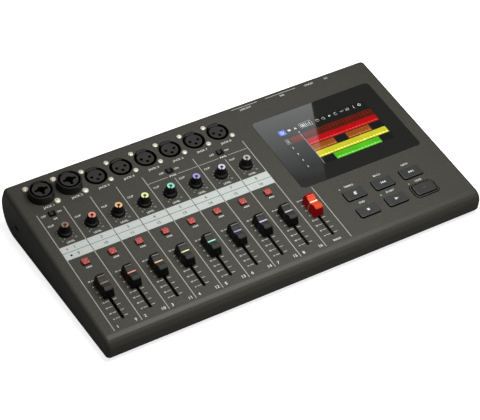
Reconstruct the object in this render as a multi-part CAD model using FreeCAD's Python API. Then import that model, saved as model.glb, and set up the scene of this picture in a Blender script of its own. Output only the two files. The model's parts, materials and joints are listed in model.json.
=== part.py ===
import FreeCAD, Part
import math
import os

# Digital multitrack recorder: a wedge-shaped desk unit with nine faders, eight gain knobs,
# microphone jacks, a screen under a cover glass and six transport keys.
# Millimetres. +X right, +Y to the rear, +Z up. The origin lies on the desk under the middle
# of the whole unit. Pieces on the sloped panel are drawn in the panel's own frame, where
# x runs right, v runs up the slope from the front ends of the channel lines, and n stands
# square out of the panel. on_panel() then carries them to the unit.

V = FreeCAD.Vector

# Case shell
PANEL_SLOPE = 8.2               # degrees
WALL = 2.5
EDGE_RADIUS = 4.2               # rounding of the edges along both ends
CORNER_EXTRA = 0.3              # how much rounder the long top and toe edges are
NOSE_RADIUS = 10.0
NOSE_SETBACK = 9.6              # channel lines' front ends behind the foremost point
FRONT_LEAN = 8.4                # degrees, the front wall tucks under
FRONT_RISE = 21.9               # panel above the underside at the channel lines' front ends
REAR_BULGE = 8.4                # rear wall behind the panel's rear edge
SHOULDER_RISE = 10.0            # rear wall's upper bend above the panel's front level
SHOULDER_RADIUS = 20.0
HEEL_RADIUS = 24.0
FLOOR_THICKNESS = 2.6
TONGUE_HEIGHT = 3.0
TONGUE_THICKNESS = 1.6
SEAT_GAP = 0.15                 # between shells that slide together
FOOT_HEIGHT = 3.4
FOOT_RADIUS = 7.0
FOOT_TAPER = 0.6
FOOT_INSET_X = 29.0             # foot centre in from the case's end
FOOT_INSET_FRONT = 26.0
FOOT_INSET_REAR = 37.0
RIB_HEIGHT = 4.0
RIB_THICKNESS = 1.5
RIB_COUNT = 5

# Layout across the panel
LEFT_MARGIN = 12.2
CHANNEL_PITCH = 25.8
CHANNELS = 8
GLASS_OVERLAP = 8.1             # cover glass starts this far left of the master's right line
GLASS_WIDTH = 128.0
RIGHT_MARGIN = 13.7

# Layout up the panel
FADER_LOW_V = 11.2
FADER_TRAVEL = 45.0
FADER_STEPS = 7
FADER_REST_STEP = 5             # the 0 dB mark
GLASS_ABOVE_FADER = 10.8
GLASS_HEIGHT = 91.5
ARM_ABOVE_FADER = 21.1
KNOB_ABOVE_ARM = 37.7
SLIDER_ABOVE_KNOB = 24.8
JACK_ABOVE_SLIDER = 23.4
REAR_EDGE_ABOVE_JACK = 22.8

# Boards below the panel
BOARD_DEPTH = 10.0              # component face below the panel's face
BOARD_THICKNESS = 1.6
BOARD_EDGE_GAP = 4.3
BOARD_FRONT_V = 4.0
BOARD_MARGIN = 1.0              # board beyond the parts it carries
POST_RADIUS = 2.8
POST_PILOT_END = 1.0            # pilot hole's end below the panel's inner face
CHIP_COLUMN = 12.0              # shield and memory left of the board's middle
SHIELD_WIDTH = 38.0
SHIELD_LENGTH = 28.0
SHIELD_HEIGHT = 3.2
SHIELD_CORNER = 2.0
SHIELD_UP = 30.0                # shield's middle above the glass's lower edge
MEMORY_WIDTH = 12.0
MEMORY_LENGTH = 9.0
MEMORY_HEIGHT = 1.2
MEMORY_UP = 60.0
SUPPLY_SIZE = 12.0
SUPPLY_HEIGHT = 6.0
SUPPLY_COLUMN = 40.0
SUPPLY_UP = 62.0
PLUG_STRIP_LENGTH = 24.0
PLUG_STRIP_WIDTH = 5.0
PLUG_STRIP_HEIGHT = 4.0
PLUG_STRIP_COLUMN = 8.0         # right of the board's middle
PLUG_STRIP_DOWN = 6.0           # below the glass's lower edge

# Screws
SCREW_RADIUS = 1.45
SCREW_HEAD_RADIUS = 2.7
SCREW_HEAD_HEIGHT = 1.5
SCREW_LENGTH = 8.0
SCREW_CLEARANCE = 0.05
SCREW_DOME = 0.5                # domed share of a pan head's height
BOSS_RADIUS = 3.5
BOSS_INSET = 9.0                # boss centre in from the case's end

# Faders
FADER_SLOT_WIDTH = 2.8
LEVER_THICKNESS = 1.6
LEVER_LENGTH = 4.4
LEVER_END_GAP = 0.4
LEVER_FOOT = 7.8                # lever's lower end below the panel's face
CARRIAGE_WIDTH = 4.8
CARRIAGE_LENGTH = 8.0
CARRIAGE_HEIGHT = 2.4
RUN_GAP = 0.3
UNIT_WIDTH = 9.0
UNIT_END = 7.4                  # track beyond the carriage's last position
UNIT_TOP = 3.4                  # track's top below the panel's face
UNIT_SHEET = 0.9
CAP_LIFT = 1.0                  # cap's skirt above the panel
CAP_BASE_LENGTH = 21.4
CAP_BASE_WIDTH = 10.4
CAP_END_LENGTH = 19.4
CAP_END_HEIGHT = 9.8
CAP_RIDGE_SPAN = 12.4
CAP_RIDGE_HEIGHT = 11.5
CAP_WAIST_HEIGHT = 9.2
CAP_TOP_WIDTH = 7.8
CAP_CORNER = 1.1
CAP_LINE_WIDTH = 0.8
CAP_LINE_DEPTH = 0.3
CAP_WALL = 1.3
CAP_POCKET_HEIGHT = 6.4
LEVER_ROOT = 1.0                # lever sunk into the cap above its pocket

# Gain knobs and their potentiometers
KNOB_LIFT = 0.8
KNOB_FLANGE_RADIUS = 6.4
KNOB_FLANGE_HEIGHT = 2.2
KNOB_BASE_RADIUS = 4.5
KNOB_TOP_RADIUS = 3.6
KNOB_HEIGHT = 10.3
KNOB_CROWN = 0.6
KNOB_RING_WIDTH = 1.4
KNOB_DISH = 0.4
KNOB_FLANGE_LEAN = 0.3
KNOB_FLANGE_CHAMFER = 0.6
KNOB_EDGE = 0.1                 # crown's last step
KNOB_DISH_LEAN = 0.5
POINTER_WIDTH = 0.9
POINTER_ANGLE = 240.0           # degrees from +x at the fully turned-down stop
SHAFT_RADIUS = 3.0
SHAFT_DEPTH = 7.0
SHAFT_CLEARANCE = 0.06
BUSH_RADIUS = 3.7
BUSH_TOP = 0.6
HOLE_CLEARANCE = 0.3
POT_WIDTH = 9.8
POT_LENGTH = 11.0

# Record-arm buttons, transport keys and the switches under them
ARM_SIZE = 6.4
ARM_HEIGHT = 2.0
ARM_CORNER = 0.9
ARM_TRAVEL = 0.5
ARM_STEM_RADIUS = 1.6
KEY_WIDTH = 20.4
KEY_LENGTH = 11.9
KEY_CORNER = 2.3
KEY_HEIGHT = 1.8
KEY_TRAVEL = 0.6
KEY_STEM_RADIUS = 2.2
KEY_COLUMNS = 3
KEY_COLUMN_PITCH = 30.05
KEY_ROW_PITCH = 21.9
KEY_FIRST_X = 38.2              # first column right of the glass's left edge
KEY_TOP_ROW_DOWN = 26.0         # upper row below the glass's lower edge
KEY_EDGE_ROUND = 0.5
BUTTON_GAP = 0.3                # all round a button in its hole
BUTTON_LIP = 0.8                # lip that keeps a button under the panel
BUTTON_LIP_HEIGHT = 0.9
LIP_GAP = 0.1
GUARD_WIDTH = 1.6
GUARD_HEIGHT = 0.8
TACT_SIZE = 6.0
TACT_HEIGHT = 3.5
TACT_PIN_RADIUS = 1.6
TACT_PIN_HEIGHT = 0.8
PRESS_CLEARANCE = 0.05

# Slide switches on the panel
SLIDER_OPEN_X = 6.9
SLIDER_OPEN_V = 6.4
SLIDER_WIDTH = 3.3
SLIDER_LENGTH = 4.2
SLIDER_HEIGHT = 2.0
SLIDER_TRAVEL = 2.0
SLIDER_BODY_X = 10.4
SLIDER_BODY_V = 8.6
SLIDER_FOOT = 5.6
SLIDER_CHANNELS = (1, 5, 7)     # channels whose input the three switches serve

# Three-pin plug sockets and combination jacks
PLUG_BORE_RADIUS = 9.45
SOCKET_TUBE = 0.35
SOCKET_WALL = 1.2               # plug tube's wall below the panel
SOCKET_HOLE_GAP = 0.2
SOCKET_TOP = 0.3                # tube's rim below the panel's face
SOCKET_DEPTH = 20.0
SOCKET_BORE_DEPTH = 15.0
HOUSING_INSET = 1.0             # contact housing in from the flange's edges
INSERT_RADIUS = 7.45
INSERT_DROP = 1.0
PIN_HOLE_RADIUS = 1.1
PIN_CIRCLE = 4.1
PIN_HOLE_DEPTH = 11.0
FLANGE_THICKNESS = 3.0
FLANGE_SCREW_WALL = 2.4
FLANGE_GAP = 0.45               # between neighbouring flanges
MIC_SOCKETS = 6
MIC_SCREW_HEAD_RADIUS = 2.3
MIC_SCREW_HEAD_HEIGHT = 1.6
HEAD_GAP = 1.56                 # screw head to socket hole
LATCH_WIDTH = 10.8
LATCH_THICKNESS = 1.4
LATCH_RISE = 0.4
LATCH_DEPTH = 7.0
LATCH_TRAVEL = 1.5
LATCH_GAP = 0.25
LATCH_WALL = 0.2                # plug bore to the latch tab
LATCH_ROUND = 0.3
COLLAR_HEIGHT = 8.0
COLLAR_BASE_RADIUS = 11.5
COLLAR_TOP_RADIUS = 11.1
COLLAR_HOLE_GAP = 0.3
COLLAR_ROUND = 0.5
COMBO_INSERT_RADIUS = 7.9
COMBO_INSERT_DROP = 0.4
COMBO_JACK_DEPTH = 17.0
COMBO_PIN_CIRCLE = 4.85
COMBO_GROOVE_DEPTH = 7.5        # plug groove's floor below the panel's face
COMBO_KEY_WIDTH = 4.6
COMBO_KEY_DEPTH = 2.0           # key from its inner face into the collar's wall
COMBO_KEY_GAP = 0.05
COMBO_FLANGE_MARGIN = 1.0
COMBO_HOUSING_SIDE = 20.8       # clear of the two screws
COMBO_SCREW_X = 9.5
COMBO_SCREW_V = 12.2
COMBO_SCREW_HEAD_RADIUS = 2.8
COMBO_SCREW_HEAD_HEIGHT = 2.2
COMBO_PITCH = 27.3
COMBO_FIRST_X = 14.2            # first combination jack right of the first channel line
MIC_FIRST_STEP = 26.3           # first flush socket right of the second combination jack
PHONE_BORE_RADIUS = 3.25        # takes a 6.35 mm plug
JACK_BOARD_FRONT = 15.0         # jack board ahead of and behind the jacks' centre line
JACK_BOARD_REAR = 17.0
JACK_BOARD_SIDE = 13.0

# Cover glass and screen module
GLASS_THICKNESS = 1.8
GLASS_CORNER = 4.0
GLASS_GAP = 0.2
SCREEN_WIDTH = 95.0
SCREEN_HEIGHT = 54.0
SCREEN_LEFT = 16.0              # lit area right of the glass's left edge
SCREEN_LOW = 18.1               # lit area above the glass's lower edge
MODULE_BORDER_X = 5.2
MODULE_BORDER_V = 6.6
MODULE_THICKNESS = 3.2
WINDOW_GAP = 1.0

# Indicator lamps
LAMP_RADIUS = 1.0
LAMP_GAP = 0.1
LAMP_RISE = 0.2
LAMP_LEFT = 9.6                 # lamp left of its key's centre
LAMP_UP = 10.5                  # lamp above its key's centre

# Rear connector face
FACE_DEPTH = 6.0                # flat face in front of the rear wall's rearmost line
FACE_TOP = 16.0                 # above the panel's front level
FACE_BOTTOM = -13.0
FACE_CORNER = 3.0
FACE_SIDE = 12.0                # face beyond its outer connectors
CONNECTOR_RISE = 2.0            # connector axes above the panel's front level
OUTPUT_X = 43.8
OUTPUT_PITCH = 21.0
VOLUME_X = 83.5
PHONES_X = 103.5
POWER_X = 124.0
DC_X = 143.0
JACK_WIDTH = 15.4
JACK_HEIGHT = 12.4
JACK_LENGTH = 26.0
JACK_THREAD_RADIUS = 4.7
JACK_NUT_RADIUS = 6.6
JACK_NUT_THICKNESS = 2.2
JACK_NOSE_END = 1.0             # threaded nose beyond its nut
JACK_TIP_GAP = 2.0              # solid end behind the jack's bore
VOLUME_KNOB_RADIUS = 6.0
VOLUME_KNOB_TOP_RADIUS = 5.4
VOLUME_KNOB_OVERHANG = 3.9      # knob's end behind the case
VOLUME_KNOB_GAP = 0.6
VOLUME_KNOB_ROUND = 0.6
VOLUME_NOTCH_LENGTH = 2.0
VOLUME_NOTCH_START = 3.0        # notch's inner end from the knob's axis
VOLUME_POT_LENGTH = 9.0
POWER_OPEN_X = 9.0
POWER_OPEN_Z = 4.6
POWER_WIDTH = 4.4
POWER_HEIGHT = 3.8
POWER_OUT = 2.0
POWER_TRAVEL = 3.4
POWER_BODY_LENGTH = 7.0
POWER_BODY_WALL = 2.0           # housing beyond the lever's opening
DC_WIDTH = 9.0
DC_HEIGHT = 11.0
DC_LENGTH = 14.0
DC_BORE_RADIUS = 3.0
DC_PIN_RADIUS = 1.0
DC_PIN_DROP = 1.0               # pin's tip inside the mouth
DC_DROP = 0.4                   # inlet's mouth inside the connector face
REAR_BOARD_LENGTH = 28.0
REAR_POST_RADIUS = 3.0

# Sockets in the right side, below the main board
PORT_DROP = 1.0                 # mouths inside the case's end
PORT_GAP = 0.25
USB_A_V = 88.0
USB_A_WIDTH = 13.1
USB_A_HEIGHT = 5.8
USB_A_LENGTH = 14.0
USB_A_TONGUE = 1.9
USB_C_V = 66.0
USB_C_WIDTH = 8.9
USB_C_HEIGHT = 3.2
USB_C_LENGTH = 8.0
USB_C_TONGUE = 0.7
CARD_V = 118.0
CARD_WIDTH = 27.0
CARD_HEIGHT = 3.4
CARD_LENGTH = 27.0
SHEET = 0.35                    # socket shells' sheet metal
PORT_BACK = 2.0                 # solid rear end of a socket
TONGUE_GAP = 0.8                # contact tongue to the shell's sides
TONGUE_DROP = 1.0               # tongue's front edge inside the mouth

# Lock slot in the left side
LOCK_LENGTH = 7.0
LOCK_HEIGHT = 3.0
LOCK_V = 162.0
LOCK_BELOW_PANEL = 25.0

# Places worked out from the values above
CASE_WIDTH = (LEFT_MARGIN + (CHANNELS + 1) * CHANNEL_PITCH - GLASS_OVERLAP
              + GLASS_WIDTH + RIGHT_MARGIN)
CASE_LEFT = -CASE_WIDTH / 2
CASE_RIGHT = CASE_WIDTH / 2
LINE_X = CASE_LEFT + LEFT_MARGIN
MASTER_X = LINE_X + (CHANNELS + 0.5) * CHANNEL_PITCH
GLASS_X = LINE_X + (CHANNELS + 1) * CHANNEL_PITCH - GLASS_OVERLAP
FADER_HIGH_V = FADER_LOW_V + FADER_TRAVEL
FADER_REST_V = FADER_LOW_V + FADER_TRAVEL * FADER_REST_STEP / FADER_STEPS
GLASS_V = FADER_HIGH_V + GLASS_ABOVE_FADER
ARM_V = FADER_HIGH_V + ARM_ABOVE_FADER
KNOB_V = ARM_V + KNOB_ABOVE_ARM
SLIDER_V = KNOB_V + SLIDER_ABOVE_KNOB
JACK_V = SLIDER_V + JACK_ABOVE_SLIDER
REAR_EDGE_V = JACK_V + REAR_EDGE_ABOVE_JACK

SLOPE = math.radians(PANEL_SLOPE)
PANEL_LEVEL = REAR_EDGE_V * math.cos(SLOPE)
CASE_DEPTH = NOSE_SETBACK + PANEL_LEVEL + REAR_BULGE
CASE_FRONT = -(CASE_DEPTH + VOLUME_KNOB_OVERHANG) / 2
CASE_REAR = CASE_FRONT + CASE_DEPTH
CASE_UNDER = FOOT_HEIGHT
PANEL_Y = CASE_FRONT + NOSE_SETBACK
PANEL_Z = CASE_UNDER + FRONT_RISE
SPLIT_Z = CASE_UNDER + FLOOR_THICKNESS
FACE_Y = CASE_REAR - FACE_DEPTH
CONNECTOR_Z = PANEL_Z + CONNECTOR_RISE
BOARD_TOP = -BOARD_DEPTH
BOARD_BOTTOM = BOARD_TOP - BOARD_THICKNESS
TACT_TOP = BOARD_TOP + TACT_HEIGHT + TACT_PIN_HEIGHT
MIC_HOLE_RADIUS = PLUG_BORE_RADIUS + SOCKET_TUBE + SOCKET_HOLE_GAP
MIC_SCREW_OFFSET = (MIC_HOLE_RADIUS + MIC_SCREW_HEAD_RADIUS + HEAD_GAP) / math.sqrt(2)
MIC_FLANGE = 2 * (MIC_SCREW_OFFSET + FLANGE_SCREW_WALL)
MIC_PITCH = MIC_FLANGE + FLANGE_GAP
COMBO_X = [LINE_X + COMBO_FIRST_X + k * COMBO_PITCH for k in range(2)]
MIC_X = [COMBO_X[1] + MIC_FIRST_STEP + k * MIC_PITCH for k in range(MIC_SOCKETS)]
CHANNEL_X = [LINE_X + (k + 0.5) * CHANNEL_PITCH for k in range(CHANNELS)]


def on_panel(shape):
    """Carry a shape from the panel's frame to the unit's frame."""
    tilt = FreeCAD.Placement(V(0, PANEL_Y, PANEL_Z), FreeCAD.Rotation(V(1, 0, 0), PANEL_SLOPE))
    moved = shape.copy()
    moved.Placement = tilt.multiply(moved.Placement)
    return moved


def save(node, solids):
    """Write one node's solids to its STEP file."""
    shape = solids[0] if len(solids) == 1 else Part.makeCompound(solids)
    shape.exportStep(os.path.join("parts", node + ".step"))


def box(x0, x1, y0, y1, z0, z1):
    """A block between two corners."""
    return Part.makeBox(x1 - x0, y1 - y0, z1 - z0, V(x0, y0, z0))


def block(x, y, width, length, z0, z1):
    """A block centred on x and y."""
    return box(x - width / 2, x + width / 2, y - length / 2, y + length / 2, z0, z1)


def rounded_block(x, y, width, length, corner, z0, z1):
    """A centred block whose upright edges are rounded."""
    body = block(x, y, width, length, z0, z1)
    upright = [edge for edge in body.Edges if edge.BoundBox.ZLength > (z1 - z0) / 2]
    return body.makeFillet(corner, upright)


def rod(x, y, radius, z0, z1):
    """An upright cylinder."""
    return Part.makeCylinder(radius, z1 - z0, V(x, y, z0))


def rod_back(x, z, radius, y0, y1):
    """A cylinder along +Y."""
    return Part.makeCylinder(radius, y1 - y0, V(x, y0, z), V(0, 1, 0))


def join(shapes):
    """Fuse shapes into one solid."""
    body = shapes[0]
    if len(shapes) > 1:
        body = body.fuse(shapes[1:])
    return body.removeSplitter()


def round_top(body, height, radius):
    """Round the edges of a piece that lie level at its top."""
    rim = [e for e in body.Edges
           if e.BoundBox.ZLength < 1e-6 and abs(e.BoundBox.ZMax - height) < 1e-6]
    return body.makeFillet(radius, rim)


def section_corners():
    """The case's side section as sharp corners (y, z), from the nose round to the toe."""
    centre_y = CASE_FRONT + NOSE_RADIUS
    panel_here = PANEL_Z + (centre_y - PANEL_Y) * math.tan(SLOPE)
    centre_z = panel_here - NOSE_RADIUS / math.cos(SLOPE)
    lean = math.radians(FRONT_LEAN)
    touch_y = centre_y - NOSE_RADIUS * math.cos(lean)
    touch_z = centre_z - NOSE_RADIUS * math.sin(lean)
    rise = (PANEL_Z + (touch_y - PANEL_Y) * math.tan(SLOPE) - touch_z) / (
        1 + math.tan(lean) * math.tan(SLOPE))
    nose = (touch_y - rise * math.tan(lean), touch_z + rise)
    toe = (touch_y + (touch_z - CASE_UNDER) * math.tan(lean), CASE_UNDER)
    rear_top = (PANEL_Y + PANEL_LEVEL, PANEL_Z + REAR_EDGE_V * math.sin(SLOPE))
    shoulder = (CASE_REAR, PANEL_Z + SHOULDER_RISE)
    heel = (CASE_REAR, CASE_UNDER)
    return [nose, rear_top, shoulder, heel, toe]


def inset(corners, distance):
    """Move every side of the section inwards by a distance."""
    lines = []
    for k, (y0, z0) in enumerate(corners):
        y1, z1 = corners[(k + 1) % len(corners)]
        length = math.hypot(y1 - y0, z1 - z0)
        dy, dz = (y1 - y0) / length, (z1 - z0) / length
        lines.append((y0 + dz * distance, z0 - dy * distance, dy, dz))
    moved = []
    for k, (y1, z1, dy1, dz1) in enumerate(lines):
        y0, z0, dy0, dz0 = lines[k - 1]
        along = ((y1 - y0) * dz1 - (z1 - z0) * dy1) / (dy0 * dz1 - dz0 * dy1)
        moved.append((y0 + along * dy0, z0 + along * dz0))
    return moved


def rounded_section(corners, radii, x):
    """A closed wire in the plane at x, with an arc at each corner that has a radius."""
    starts, mids, ends = [], [], []
    for k, (y, z) in enumerate(corners):
        corner = V(x, y, z)
        back = (V(x, *corners[k - 1]) - corner).normalize()
        ahead = (V(x, *corners[(k + 1) % len(corners)]) - corner).normalize()
        half = back.getAngle(ahead) / 2
        bisector = (back + ahead).normalize()
        centre = corner + bisector * (radii[k] / math.sin(half))
        starts.append(corner + back * (radii[k] / math.tan(half)))
        mids.append(centre - bisector * radii[k])
        ends.append(corner + ahead * (radii[k] / math.tan(half)))
    edges = []
    for k, radius in enumerate(radii):
        if radius > 0:
            edges.append(Part.Arc(starts[k], mids[k], ends[k]).toShape())
        edges.append(Part.makeLine(ends[k], starts[(k + 1) % len(radii)]))
    return Part.Wire(edges)


def case_hull():
    """The whole case's outer form, before it is hollowed and split."""
    crest = EDGE_RADIUS + CORNER_EXTRA
    radii = [NOSE_RADIUS, crest, SHOULDER_RADIUS, HEEL_RADIUS, crest]
    end = Part.Face(rounded_section(section_corners(), radii, CASE_LEFT))
    hull = end.extrude(V(CASE_WIDTH, 0, 0))
    rims = [edge for edge in hull.Edges if edge.BoundBox.XLength < 1e-6]
    return hull.makeFillet(EDGE_RADIUS, rims)


def case_cavity():
    """The space inside the case, one wall in from its outer form."""
    corners = inset(section_corners(), WALL)
    toe_z = SPLIT_Z - SEAT_GAP
    corners[3] = (corners[3][0], toe_z)
    corners[4] = (corners[4][0], toe_z)
    crest = EDGE_RADIUS + CORNER_EXTRA - WALL
    radii = [NOSE_RADIUS - WALL, crest, SHOULDER_RADIUS - WALL, HEEL_RADIUS - WALL, 0]
    end = Part.Face(rounded_section(corners, radii, CASE_LEFT + WALL))
    return end.extrude(V(CASE_WIDTH - 2 * WALL, 0, 0))


# The connector face's ends, from its outer connectors
FACE_X0 = OUTPUT_X - FACE_SIDE
FACE_X1 = DC_X + FACE_SIDE


def face_recess():
    """What is cut away behind the flat connector face."""
    middle = (FACE_X0 + FACE_X1) / 2
    depth = 2 * FACE_DEPTH
    return rounded_block(middle, FACE_Y + depth, FACE_X1 - FACE_X0, 2 * depth, FACE_CORNER,
                         PANEL_Z + FACE_BOTTOM, PANEL_Z + FACE_TOP)


def face_backing():
    """What the cavity keeps clear of, so that the connector face has its wall."""
    return box(FACE_X0 - WALL, FACE_X1 + WALL, FACE_Y - WALL, CASE_REAR,
               PANEL_Z + FACE_BOTTOM - WALL, PANEL_Z + FACE_TOP + WALL)


def fader_slot(x):
    """Slot in the panel for one fader's lever."""
    length = FADER_TRAVEL + LEVER_LENGTH + 2 * LEVER_END_GAP
    middle = (FADER_LOW_V + FADER_HIGH_V) / 2
    return rounded_block(x, middle, FADER_SLOT_WIDTH, length, FADER_SLOT_WIDTH / 3,
                         -2 * WALL, WALL)


def key_places():
    """Centres of the transport keys (x, v), upper row first."""
    top = GLASS_V - KEY_TOP_ROW_DOWN
    return [(GLASS_X + KEY_FIRST_X + column * KEY_COLUMN_PITCH, top - row * KEY_ROW_PITCH)
            for row in range(2) for column in range(KEY_COLUMNS)]


def lamp_places():
    """Centres of the indicator lamps, by the metronome, play and record keys."""
    keys = key_places()
    return [(keys[k][0] - LAMP_LEFT, keys[k][1] + LAMP_UP) for k in (0, 4, 5)]


def mic_screws(x):
    """Screw places of one flush socket."""
    return [(x - MIC_SCREW_OFFSET, JACK_V + MIC_SCREW_OFFSET),
            (x + MIC_SCREW_OFFSET, JACK_V - MIC_SCREW_OFFSET)]


def combo_screws(x):
    """Screw places of one combination jack."""
    return [(x - COMBO_SCREW_X, JACK_V + COMBO_SCREW_V),
            (x + COMBO_SCREW_X, JACK_V - COMBO_SCREW_V)]


def latch_sector(x, gap, n0, n1):
    """A curved tab's form on the far side of a socket, grown by a gap."""
    inner = PLUG_BORE_RADIUS + LATCH_WALL - gap
    outer = inner + LATCH_THICKNESS + 2 * gap
    ring = rod(x, JACK_V, outer, n0, n1).cut(rod(x, JACK_V, inner, n0, n1))
    width = LATCH_WIDTH + 2 * gap
    return ring.common(box(x - width / 2, x + width / 2, JACK_V, JACK_V + 2 * outer, n0, n1))


def slider_x(channel):
    """Middle of a slide switch's opening."""
    return CHANNEL_X[channel - 1] if channel == 1 else LINE_X + channel * CHANNEL_PITCH


def module_box(gap, n0, n1):
    """The screen module's outline, grown by a gap."""
    x0 = GLASS_X + SCREEN_LEFT - MODULE_BORDER_X - gap
    v0 = GLASS_V + SCREEN_LOW - MODULE_BORDER_V - gap
    width = SCREEN_WIDTH + 2 * (MODULE_BORDER_X + gap)
    height = SCREEN_HEIGHT + 2 * (MODULE_BORDER_V + gap)
    return box(x0, x0 + width, v0, v0 + height, n0, n1)


def panel_openings():
    """Everything cut through the sloped panel, in the panel's frame."""
    n0, n1 = -2 * WALL, 2 * WALL
    cuts = [fader_slot(x) for x in CHANNEL_X + [MASTER_X]]
    cuts += [rod(x, KNOB_V, BUSH_RADIUS + HOLE_CLEARANCE, n0, n1) for x in CHANNEL_X]
    arm = ARM_SIZE + 2 * BUTTON_GAP
    cuts += [rounded_block(x, ARM_V, arm, arm, ARM_CORNER, n0, n1) for x in CHANNEL_X]
    for x, v in key_places():
        cuts.append(rounded_block(x, v, KEY_WIDTH + 2 * BUTTON_GAP, KEY_LENGTH + 2 * BUTTON_GAP,
                                  KEY_CORNER, n0, n1))
    cuts += [rod(x, v, LAMP_RADIUS + LAMP_GAP, n0, n1) for x, v in lamp_places()]
    cuts += [block(slider_x(c), SLIDER_V, SLIDER_OPEN_X, SLIDER_OPEN_V, n0, n1)
             for c in SLIDER_CHANNELS]
    for x in COMBO_X:
        cuts.append(rod(x, JACK_V, COLLAR_BASE_RADIUS + COLLAR_HOLE_GAP, n0, n1))
        cuts += [rod(sx, sv, SCREW_RADIUS + SCREW_CLEARANCE, n0, n1) for sx, sv in combo_screws(x)]
    for x in MIC_X:
        cuts.append(rod(x, JACK_V, MIC_HOLE_RADIUS, n0, n1))
        cuts.append(latch_sector(x, LATCH_GAP, n0, n1))
        cuts += [rod(sx, sv, SCREW_RADIUS + SCREW_CLEARANCE, n0, n1) for sx, sv in mic_screws(x)]
    cuts.append(rounded_block(GLASS_X + GLASS_WIDTH / 2, GLASS_V + GLASS_HEIGHT / 2, GLASS_WIDTH,
                              GLASS_HEIGHT, GLASS_CORNER, -GLASS_THICKNESS, n1))
    cuts.append(module_box(WINDOW_GAP, n0, n1))
    return Part.makeCompound(cuts)


def board_posts():
    """Places of the posts that carry the two boards below the panel."""
    low, middle = BOARD_FRONT_V + POST_RADIUS, (ARM_V + KNOB_V) / 2
    left, right = LINE_X + CHANNEL_PITCH, LINE_X + (CHANNELS - 1) * CHANNEL_PITCH
    posts = [(x, v) for x in (left, right) for v in (low, middle)]
    edge = GLASS_X + GLASS_WIDTH - 2 * POST_RADIUS
    key_x = key_places()[0][0]
    middle_v = GLASS_V + POST_RADIUS + GLASS_GAP
    return posts + [(key_x, low), (edge, low), (key_x, middle_v), (edge, middle_v)]


def case_screw_places():
    """Places of the screws that hold the two shells together (x, y)."""
    left, right = CASE_LEFT + BOSS_INSET, CASE_RIGHT - BOSS_INSET
    front = CASE_FRONT + NOSE_SETBACK + BOSS_RADIUS
    rear = CASE_REAR - HEEL_RADIUS - BOSS_RADIUS
    gap_x = MASTER_X + UNIT_WIDTH / 2 + BOARD_EDGE_GAP + BOARD_MARGIN
    return [(left, front), (left, 0), (left, rear), (right, front), (right, rear), (gap_x, front)]


def tilted_cut(height_above_desk):
    """A slab that keeps an upright boss below the panel's inner face."""
    slab = box(-CASE_WIDTH, CASE_WIDTH, -CASE_DEPTH, 2 * CASE_DEPTH, -WALL, height_above_desk)
    return on_panel(slab)


def make_top_case():
    """Upper shell: panel, nose, ends and rear wall, with bosses and board posts inside."""
    cavity = case_cavity().cut(face_backing())
    shell = case_hull().cut(cavity)
    shell = shell.common(box(-CASE_WIDTH, CASE_WIDTH, -CASE_DEPTH, CASE_DEPTH,
                             SPLIT_Z, 4 * PANEL_Z))
    shell = shell.cut(face_recess())
    bosses = []
    for x, y in case_screw_places():
        boss = rod(x, y, BOSS_RADIUS, SPLIT_Z, 3 * PANEL_Z)
        boss = boss.cut(rod(x, y, SCREW_RADIUS + SCREW_CLEARANCE, 0, SPLIT_Z + SCREW_LENGTH))
        bosses.append(boss.cut(tilted_cut(4 * PANEL_Z)))
    for x, v in board_posts():
        post = rod(x, v, POST_RADIUS, BOARD_TOP, -WALL)
        pilot = rod(x, v, SCREW_RADIUS + SCREW_CLEARANCE, BOARD_TOP,
                    -WALL - POST_PILOT_END)
        bosses.append(on_panel(post.cut(pilot)))
    shell = join([shell] + bosses)
    record_x, record_v = key_places()[-1]
    guard = rounded_block(record_x, record_v, KEY_WIDTH + 2 * (BUTTON_GAP + GUARD_WIDTH),
                          KEY_LENGTH + 2 * (BUTTON_GAP + GUARD_WIDTH), KEY_CORNER + GUARD_WIDTH,
                          -WALL / 2, GUARD_HEIGHT)
    shell = join([shell, on_panel(guard)])
    shell = shell.cut(on_panel(panel_openings()))
    return shell.cut(Part.makeCompound(rear_openings() + side_openings()))


def rear_openings():
    """Holes through the flat connector face and the wall before it."""
    y0, y1 = FACE_Y - 2 * WALL, FACE_Y + WALL
    z = CONNECTOR_Z
    holes = [rod_back(x, z, JACK_THREAD_RADIUS + HOLE_CLEARANCE, y0, y1) for x in rear_jack_x()]
    holes.append(rod_back(VOLUME_X, z, BUSH_RADIUS + HOLE_CLEARANCE, y0, y1))
    holes.append(box(POWER_X - POWER_OPEN_X / 2, POWER_X + POWER_OPEN_X / 2, y0, y1,
                     z - POWER_OPEN_Z / 2, z + POWER_OPEN_Z / 2))
    holes.append(box(DC_X - DC_WIDTH / 2 - PORT_GAP, DC_X + DC_WIDTH / 2 + PORT_GAP, y0, y1,
                     z - DC_HEIGHT / 2 - PORT_GAP, z + DC_HEIGHT / 2 + PORT_GAP))
    return holes


def ports():
    """Side sockets as (v, width, height, length)."""
    return [(USB_A_V, USB_A_WIDTH, USB_A_HEIGHT, USB_A_LENGTH),
            (USB_C_V, USB_C_WIDTH, USB_C_HEIGHT, USB_C_LENGTH),
            (CARD_V, CARD_WIDTH, CARD_HEIGHT, CARD_LENGTH)]


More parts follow.
